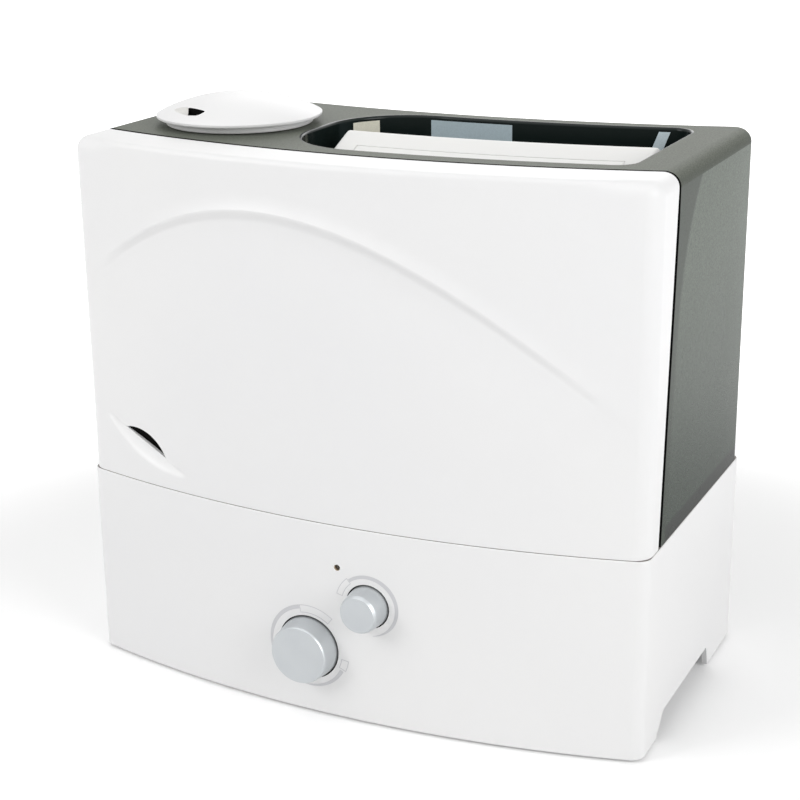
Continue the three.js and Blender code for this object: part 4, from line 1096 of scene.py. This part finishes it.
# the well's outline at one level, moved outwards by margin
def wellRing(z, margin):
    def frontLine(x):
        return frontY(x) + tank["wellFront"]

    def backLine(x):
        return backY(x) - tank["wellBack"]

    def corner(x, y, radius, start):
        return arc(x, y, radius + margin, start, start + quarter, tank["cornerSteps"])

    def between(start, end, line, offset):
        xs = np.linspace(start, end, tank["lineSteps"])[1:-1]
        return np.column_stack([xs, line(xs) + offset])

    leftRadius, rightRadius = tank["leftRadius"], tank["rightRadius"]
    left, right = tank["wellLeft"] + leftRadius, tank["wellRight"] - rightRadius
    outline = np.concatenate([
        corner(left, frontLine(left) + leftRadius, leftRadius, 2 * quarter),
        between(left, right, frontLine, -margin),
        corner(right, frontLine(right) + rightRadius, rightRadius, -quarter),
        corner(right, backLine(right) - rightRadius, rightRadius, 0),
        between(right, left, backLine, margin),
        corner(left, backLine(left) - leftRadius, leftRadius, quarter),
    ])
    return np.column_stack([outline, np.full(len(outline), z)])


def wellCut():
    fillet, lip, bends = tank["fillet"], tank["lip"], quarterSteps(tank["edgeRings"])
    rings = [wellRing(wellFloor + fillet * rise, -fillet * pull) for rise, pull in bends]
    rings += [wellRing(topZ - lip * drop, lip * outward) for outward, drop in bends]
    rings.append(wellRing(topZ + tank["cutAbove"], lip))
    return ringPiece("wellCut", rings)


def makeShell():
    low, wellWall, cavityLow = shellLow.z, tank["wellWall"], tank["cavityLow"]
    rows = np.linspace(low, topZ - body["tankEdge"], tank["rows"])[:-1]
    piece = tankBody("tankShell", tankInset, low, evenShares, rows)
    dressPiece(piece, "smokedPlastic", "smokedTop")
    for face in piece.data.polygons:
        if face.center.z > topZ - body["tankEdge"]:
            face.material_index = 1
    faceInset = tankInset + panel["wall"] + gap
    rebate = panelRegion("rebate", panel["topSeam"], panel["sideSeam"])
    carve(rebate, tankBody("rebateCore", faceInset, 0, evenShares, [0]))
    dressPiece(rebate, "seamShadow")
    cavity = tankBody("cavity", faceInset + tank["wall"], cavityLow, evenShares, [cavityLow])
    levels = (wellFloor - wellWall, topZ + tank["cutAbove"])
    carve(cavity, ringPiece("wellBlock", [wellRing(z, wellWall) for z in levels]))
    well = wellCut()
    dressPiece(well, "smokedWell")
    x, y, _, radius = middleOf("mist_chimney")
    bore = upright("bore", circle(x, y, radius + gap), topZ - tank["boreDepth"], topZ + tank["cutAbove"])
    carve(piece, rebate, cavity, well, bore)
    finishPiece(piece, None, "tank", "tank_shell")


makeShell()
print("tank shell ready")


# handle: a bowed bar with an inset cover, and two arms down to its pins

handle = {
    "left": -0.043,
    "right": 0.137,
    "endRadius": 0.0028,
    "rear": 0.111,
    "band": 0.1025,
    "front": 0.081,
    "topDrop": 0.001,
    "bandDrop": 0.0034,
    "slope": 23,
    "rearHeight": 0.015,
    "frontHeight": 0.008,
    "rounds": (0.002, 0.004, 0.003, 0.006, 0.0015),
    "coverRear": 0.0945,
    "coverMargin": 0.014,
    "coverThickness": 0.0016,
    "coverRound": 0.0004,
    "pocketAhead": 0.003,
    "pocketAbove": 0.004,
    "armThickness": 0.006,
    "armInsets": (0.008, 0.007),
    "armRear": 0.008,
    "armFront": 0.003,
    "armRise": 0.0005,
    "armHeel": 0.002,
    "armRounds": (0.012, 0.001, 0.004, 0.006, 0.0059),
    "armBevel": 0.0006,
    "bevelAngle": 50,
    "pivot": 0.066,
    "pivotAboveFloor": 0.011,
    "pivotRadius": 0.006,
    "pinBore": 0.0028,
    "boreAhead": 0.01,
    "boreBehind": 0.02,
}
gripTop = topZ - handle["topDrop"]
slopeRise = math.tan(math.radians(handle["slope"]))


def faceHeight(depth):
    return gripTop - handle["bandDrop"] - (handle["band"] - depth) * slopeRise


# a (depth behind the front, z) outline along X, bowed with the front; outlines is a function of inset
def bowedBar(name, outlines, left, right, endRadius, steps=5, columns=64):
    ends = [(endRadius * inward, endRadius * inset) for inward, inset in quarterSteps(steps + 1)]
    places = [(left + inward, inset) for inward, inset in ends]
    places += [(x, 0.0) for x in np.linspace(left + endRadius, right - endRadius, columns)[1:-1]]
    places += [(right - inward, inset) for inward, inset in reversed(ends)]
    rings = []
    for x, inset in places:
        depth, z = outlines(inset).T
        rings.append(np.column_stack([np.full(len(z), x), depth + frontY(x), z]))
    return ringPiece(name, rings)


def gripOutline(inset):
    front, band, rear = handle["front"], handle["band"], handle["rear"]
    points = [
        (front, faceHeight(front) - handle["frontHeight"]),
        (rear, gripTop - handle["rearHeight"]),
        (rear, gripTop),
        (band, faceHeight(band)),
        (front, faceHeight(front)),
    ]
    return rounded(points, handle["rounds"], inset)


# the cover's outline, or with a margin that of its pocket
def coverOutline(front, margin, lift):
    rear = handle["coverRear"] + margin
    depth = handle["coverThickness"] + margin
    corners = ((front, -depth), (rear, -depth), (rear, lift), (front, lift))
    return np.array([(y, faceHeight(y) + above) for y, above in corners])


def makeGrip():
    front, around = handle["front"], handle["coverRound"]
    left, right = handle["left"] + handle["coverMargin"], handle["right"] - handle["coverMargin"]
    pocketOutline = coverOutline(front - handle["pocketAhead"], gap, handle["pocketAbove"])
    outline = coverOutline(front + gap, 0, 0)

    def pocketAt(inset):
        return pocketOutline

    def coverAt(inset):
        return rounded(outline, around, inset)

    grip = bowedBar("handleGrip", gripOutline, handle["left"], handle["right"], handle["endRadius"])
    carve(grip, bowedBar("coverPocket", pocketAt, left - gap, right + gap, tiny, steps=1))
    cover = bowedBar("handleCover", coverAt, left, right, around, steps=3)
    for piece, node in ((grip, "handle_grip"), (cover, "handle_cover")):
        finishPiece(piece, "warmWhitePlastic", "handle", node, angle=40)


def makeArms():
    pivotY = frontY(0) + handle["pivot"]
    pivotZ = wellFloor + handle["pivotAboveFloor"]
    radius = handle["pivotRadius"]
    thick = handle["armThickness"]
    low = faceHeight(handle["front"]) - handle["frontHeight"]
    leftInset, rightInset = handle["armInsets"]
    for side, start in (("Left", handle["left"] + leftInset), ("Right", handle["right"] - rightInset)):
        gripY = frontY(start + thick / 2)
        corners = [
            (pivotY + handle["armHeel"], pivotZ - radius),
            (gripY + handle["rear"] - handle["armRear"], gripTop - handle["rearHeight"] + handle["armRise"]),
            (gripY + handle["front"] + handle["armFront"], low + handle["armRise"]),
            (pivotY - radius, pivotZ + radius),
            (pivotY - radius, pivotZ - radius),
        ]
        arm = alongX("handleArm" + side, rounded(corners, handle["armRounds"]), start, start + thick)
        pin = circle(pivotY, pivotZ, handle["pinBore"], steps=48)
        carve(arm, alongX("pinBore", pin, start - handle["boreAhead"], start + handle["boreBehind"]))
        edge = arm.modifiers.new("softEdge", "BEVEL")
        edge.width = handle["armBevel"]
        edge.segments = 2
        edge.angle_limit = math.radians(handle["bevelAngle"])
        settle(arm)
        finishPiece(arm, "warmWhitePlastic", "handle", "handle_grip")


makeGrip()
makeArms()
print("handle ready")


# nozzle

nozzle = {
    "rim": 0.0022,
    "crown": 0.011,
    "innerCrown": 0.0085,
    "edgeDrop": 0.0005,
    "edgeTurn": 14,
    "wall": 0.0014,
    "rimRound": 0.0009,
    "sleeveWall": 0.0018,
    "sleeveRadius": 0.0219,
    "sleeveDrop": 0.007,
    "sleeveRound": 0.0005,
    "sleeveInto": 0.0006,
    "windowWidth": 0.018,
    "windowHeight": 0.005,
    "windowSill": 0.001,
    "windowReach": 0.04,
    "holeCorners": [(-0.0150, -0.0300), (-0.0100, -0.0395), (-0.0035, -0.0398), (-0.0005, -0.0350)],
    "holeRounds": (0.0006, 0.0010, 0.0024, 0.0014),
    "holeBelow": 0.002,
    "holeAbove": 0.01,
    "rampTip": (-0.0245, -0.0300),
    "rampStart": 0.08,
    "rampDepth": 0.0030,
    "rampAbove": 0.004,
    "rampRings": 14,
    "rampSides": 32,
    "underRings": 24,
    "rimRings": 4,
    "domeRings": 40,
}
hub = 0.0004  # radius of the small face in the middle of a turned piece
nozzleX, nozzleY, _, _ = middleOf("mist_chimney")
nozzleCentre = np.array([nozzleX, nozzleY])
capRadius = middleOf("nozzle_cap")[3]
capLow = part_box("nozzle_collar")[1].z + gap
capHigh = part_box("nozzle_cap")[1].z
capInner = capRadius - nozzle["wall"]
holeCorners = np.array(nozzle["holeCorners"])
holeEdge = holeCorners[:2].mean(axis=0)


# heights of the cap's outer and inner dome at a share of their radius
def domeZ(share):
    return capLow + nozzle["rim"] + nozzle["crown"] * (1 - share**2)


def underZ(share):
    return capLow + nozzle["innerCrown"] * (1 - share**2)


# a spoon-shaped ramp leads down to the mist hole: rings from its tip to the hole's straight edge
def rampPiece():
    across = (holeCorners[0] - holeCorners[1]) / 2
    along = np.array(nozzle["rampTip"]) - holeEdge
    rings = []
    for share in np.linspace(nozzle["rampStart"], 1, nozzle["rampRings"]):
        reach, wide = math.cos(share * quarter), math.sin(share * quarter)
        ring = []
        for turn in np.linspace(0, fullTurn, nozzle["rampSides"], endpoint=False):
            spot = nozzleCentre + holeEdge + along * reach + across * wide * math.cos(turn)
            level = domeZ(np.linalg.norm(spot - nozzleCentre) / capRadius)
            drop = nozzle["rampDepth"] * (1 - reach) if turn > math.pi else nozzle["rampAbove"]
            ring.append((*spot, level + drop * math.sin(turn)))
        rings.append(np.array(ring))
    return ringPiece("ramp", rings)


def makeNozzleCap():
    turnIn, bends = nozzle["rimRound"], quarterSteps(nozzle["rimRings"])
    profile = [(r, underZ(r / capInner)) for r in np.linspace(hub, capInner, nozzle["underRings"])]
    profile += [(capRadius - turnIn * inward, capLow + turnIn * rise) for rise, inward in bends]
    for share in np.linspace(1, hub / capRadius, nozzle["domeRings"]):
        drop = nozzle["edgeDrop"] * share ** nozzle["edgeTurn"]
        profile.append((capRadius * share, domeZ(share) - drop))
    cap = turned("nozzleCap", profile, nozzleX, nozzleY, sides=192)
    outline = rounded(nozzleCentre + holeCorners, nozzle["holeRounds"])
    hole = upright("mistHole", outline, capLow - nozzle["holeBelow"], capHigh + nozzle["holeAbove"])
    ramp = rampPiece()
    for piece, look in ((cap, "whitePlastic"), (hole, "seamShadow"), (ramp, "rampShade")):
        dressPiece(piece, look)
    carve(cap, ramp, hole)
    finishPiece(cap, None, "nozzle", "nozzle_cap", angle=30)


# a tube inside the cap, with a window towards the mist hole
def makeSleeve():
    outer, edge, wide = nozzle["sleeveRadius"], nozzle["sleeveRound"], nozzle["windowWidth"] / 2
    top = underZ(outer / capInner) + nozzle["sleeveInto"]
    corners = boxCorners(outer - nozzle["sleeveWall"], topZ - nozzle["sleeveDrop"], outer, top)
    sleeve = turned("nozzleSleeve", rounded(corners, edge, steps=4), nozzleX, nozzleY, closed=True)
    sill = capLow + nozzle["windowSill"]
    outline = rounded(boxCorners(0, -wide, nozzle["windowReach"], wide), edge)
    opening = upright("sleeveWindow", outline, sill, sill + nozzle["windowHeight"])
    turn = Matrix.Rotation(math.atan2(*holeEdge[::-1]), 4, "Z")
    opening.data.transform(Matrix.Translation((nozzleX, nozzleY, 0)) @ turn)
    carve(sleeve, opening)
    finishPiece(sleeve, "whitePlastic", "nozzle", "nozzle_cap", angle=30)


collar = {"edgeRound": 0.0011, "innerRound": 0.0004, "spigotRadius": 0.0242, "spigotWall": 0.002}


def makeCollar():
    low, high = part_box("nozzle_collar")
    radius = middleOf("nozzle_collar")[3]
    outer = collar["spigotRadius"]
    bore = outer - collar["spigotWall"]
    seat = topZ + gap
    points = [(bore, low.z), (outer, low.z), (outer, seat), (radius, seat), (radius, high.z), (bore, high.z)]
    inside, edge = collar["innerRound"], collar["edgeRound"]
    profile = rounded(points, (inside, inside, inside, edge, edge, inside), steps=4)
    piece = turned("nozzleCollar", profile, nozzleX, nozzleY, sides=160, closed=True)
    finishPiece(piece, "whitePlastic", "nozzle_base", "nozzle_collar", angle=30)


makeNozzleCap()
makeSleeve()
makeCollar()
print("nozzle ready")


# dials

dials = {
    "mist": {"draft": 0.0012, "chamfer": 0.0006, "chamferDepth": 0.0012, "rimWidth": 0.0010},
    "humidity": {"draft": 0.0010, "chamfer": 0.0011, "chamferDepth": 0.0020, "rimWidth": 0.0008},
}
# both dials' shaft bore, back edge, and the small step between rim and face as (inward, share of recess)
dialShape = {
    "bore": 0.0033,
    "boreDepth": 0.007,
    "boreEdge": 0.0003,
    "backEdge": 0.0004,
    "recess": 0.00003,
    "step": ((0, 0), (0.0001, 0.3), (0.0003, 1), (0.0006, 1)),
    "chamfer": ((0, 1), (0.06, 0.86), (0.5, 0.42), (0.84, 0.1), (1, 0)),
}


def makeDial(name):
    dial = dials[name]
    node = name + "_knob"
    low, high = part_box(node)
    x, _, z, radius = middleOf(node)
    y = frontY(x)
    proud, sunk = y - low.y, high.y - y
    bore, deep, back = dialShape["bore"], dialShape["boreDepth"], dialShape["backEdge"]
    boreEdge, recess = dialShape["boreEdge"], dialShape["recess"]
    face = radius - dial["draft"]
    rim = face - dial["chamfer"] - dial["rimWidth"]
    profile = [(hub, deep), (bore - boreEdge, deep), (bore, deep - boreEdge), (bore, -sunk)]
    profile += [(radius - back, -sunk), (radius, -sunk + back), (radius, 0.0)]
    profile.append((radius - dial["draft"] / 2, proud / 2))
    for inward, down in dialShape["chamfer"]:
        profile.append((face - dial["chamfer"] * inward, proud - dial["chamferDepth"] * down))
    profile += [(rim - inward, proud - recess * down) for inward, down in dialShape["step"]]
    profile += [(rim / 2, proud - recess), (hub, proud - recess)]
    piece = turned(name + "Dial", profile)
    piece.data.transform(Matrix.Translation((x, y, z)) @ Matrix.Rotation(quarter, 4, "X"))
    finishPiece(piece, "satinSilver", name + "_dial", node, angle=24)


# thin printed marks on the curved front, each a closed band
marks = {"proud": 0.00006, "sunk": 0.00012, "line": 0.0004}


def bandPiece(name, innerEdge, outerEdge):
    count = len(innerEdge)
    points = []
    for lift in (-marks["proud"], marks["sunk"]):
        for edge in (innerEdge, outerEdge):
            points += [(x, frontY(x) + lift, z) for x, z in edge]
    faces = []
    for i in range(count - 1):
        a, b, c, d = i, i + count, i + 2 * count, i + 3 * count
        faces += [(a, a + 1, b + 1, b), (d, d + 1, c + 1, c), (c, c + 1, a + 1, a), (b, b + 1, d + 1, d)]
    last = count - 1
    faces += [(0, count, 3 * count, 2 * count), (last, last + 2 * count, last + 3 * count, last + count)]
    piece = makePiece(name, points, faces)
    dressPiece(piece, "printGrey")
    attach(piece, "base")


def onArc(x, z, radius, angles):
    return np.column_stack([x + radius * np.cos(angles), z + radius * np.sin(angles)])


# widths are given at the start, middle and end of the band
def arcBand(name, x, z, radius, start, end, widths, steps=48):
    share = np.linspace(0, 1, steps + 1)
    angles = np.radians(start + (end - start) * share)
    half = np.interp(share, (0, 0.5, 1), widths) / 2
    bandPiece(name, onArc(x, z, radius - half, angles), onArc(x, z, radius + half, angles))


# the outline of a curved box between two radii
def boxBand(name, x, z, low, high, start, end, steps=28):
    bend = np.radians(np.linspace(start, end, steps))

    def edge(shrink):
        turn = shrink / ((low + high) / 2)
        angles = np.clip(bend, bend[0] + turn, bend[-1] - turn)
        path = np.concatenate([onArc(x, z, high - shrink, angles), onArc(x, z, low + shrink, angles[::-1])])
        return np.append(path, path[:1], axis=0)

    bandPiece(name, edge(marks["line"]), edge(0))


# round each knob: a band's radius, start, end and widths, or a box's two radii, start and end
markPieces = [
    (arcBand, "mistMarkHeavy", "mist_knob", 0.0239, 212, 103, (0.0006, 0.0022, 0.0024)),
    (boxBand, "mistMarkBox", "mist_knob", 0.0204, 0.0251, 52, 102.5),
    (boxBand, "mistMarkSmallBox", "mist_knob", 0.0208, 0.0254, -25, -9),
    (arcBand, "mistMarkTail", "mist_knob", 0.0231, -27, -125, (0.0024, 0.0014, 0.0003)),
    (boxBand, "humidityMarkBox", "humidity_knob", 0.0152, 0.0191, 129, 166),
    (arcBand, "humidityMarkHeavy", "humidity_knob", 0.0172, 128.5, -34, (0.0018, 0.0024, 0.0018)),
    (arcBand, "humidityMarkTail", "humidity_knob", 0.0172, -34, -80, (0.0018, 0.0010, 0.0002)),
]
for name in dials:
    makeDial(name)
for makeMark, name, knob, *values in markPieces:
    x, _, z, _ = middleOf(knob)
    makeMark(name, x, z, *values)
print("dials and marks ready")


# the valve's return spring, which shortens as the valve opens; its last coils at both ends lie flat

spring = {
    "turns": 3.4, "wire": 0.00062, "steps": 30, "sides": 10, "travel": 0.0035, "clear": 0.00005,
    "coils": (0, 0.22, 0.78, 1), "climb": (0, 0.07, 0.93, 1),
}


def makeValveSpring():
    low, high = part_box("valve_spring")
    wire = spring["wire"]
    x, y, _, _ = middleOf("valve_plunger")
    radius = high.x - x - wire - spring["clear"]
    rings = []
    for share in np.linspace(0, 1, int(spring["turns"] * spring["steps"]) + 1):
        turn = fullTurn * spring["turns"] * share
        climb = np.interp(share, spring["coils"], spring["climb"])
        z = low.z + wire + (high.z - low.z - 2 * wire) * climb
        bends = np.linspace(0, fullTurn, spring["sides"], endpoint=False)
        reach = radius + wire * np.cos(bends)
        rings.append(np.column_stack([
            x + reach * math.cos(turn), y + reach * math.sin(turn), z + wire * np.sin(bends)
        ]))
    piece = ringPiece("valveSpring", rings)
    finishPiece(piece, "brightSteel", "filler_cap", "valve_spring", angle=50)
    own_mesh(piece)


makeValveSpring()
print("valve spring ready")


# finishes and soft edges for the model's own solids that stay in view

soften = {"weld": 0.00001, "width": 0.00035, "angle": 38, "segments": 2}
plainNodes = {
    "greyPlastic": ["bottom_plate", "water_tray", "chamber_cup", "air_duct", "float_cap"],
    "softRubber": [
        *(f"rubber_foot_{i}" for i in range(1, 5)), "transducer_gasket", "cap_seal", "valve_seal"
    ],
    "brightSteel": [
        *(f"base_screw_{i}" for i in range(1, 5)), "transducer_disc", "transducer_clamp", "clamp_screw_1",
        "clamp_screw_2", "mist_knob_shaft", "humidity_knob_shaft", "handle_pin_left", "handle_pin_right",
        "heat_sink",
    ],
    "blackPlastic": ["fan_frame", "fan_impeller", "power_inlet", "mist_control", "humidity_control"],
    "boardLacquer": ["circuit_board"],
    "windingCopper": ["transformer"],
    "lampLens": ["indicator_light"],
    "warmWhitePlastic": ["level_float", "tank_cap", "valve_plunger"],
    "smokedPlastic": ["tank_floor", "mist_chimney"],
}


def dressNode(node, look):
    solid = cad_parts[node]
    dressPiece(solid, look)
    solid.data.polygons.foreach_set("use_smooth", [True] * len(solid.data.polygons))
    weld = solid.modifiers.new("weld", "WELD")
    weld.merge_threshold = soften["weld"]
    edge = solid.modifiers.new("softEdge", "BEVEL")
    edge.width = soften["width"]
    edge.segments = soften["segments"]
    edge.limit_method = "ANGLE"
    edge.angle_limit = math.radians(soften["angle"])
    even = solid.modifiers.new("evenNormals", "WEIGHTED_NORMAL")
    even.weight = normalWeight


for look, names in plainNodes.items():
    for node in names:
        dressNode(node, look)
print("solids dressed")
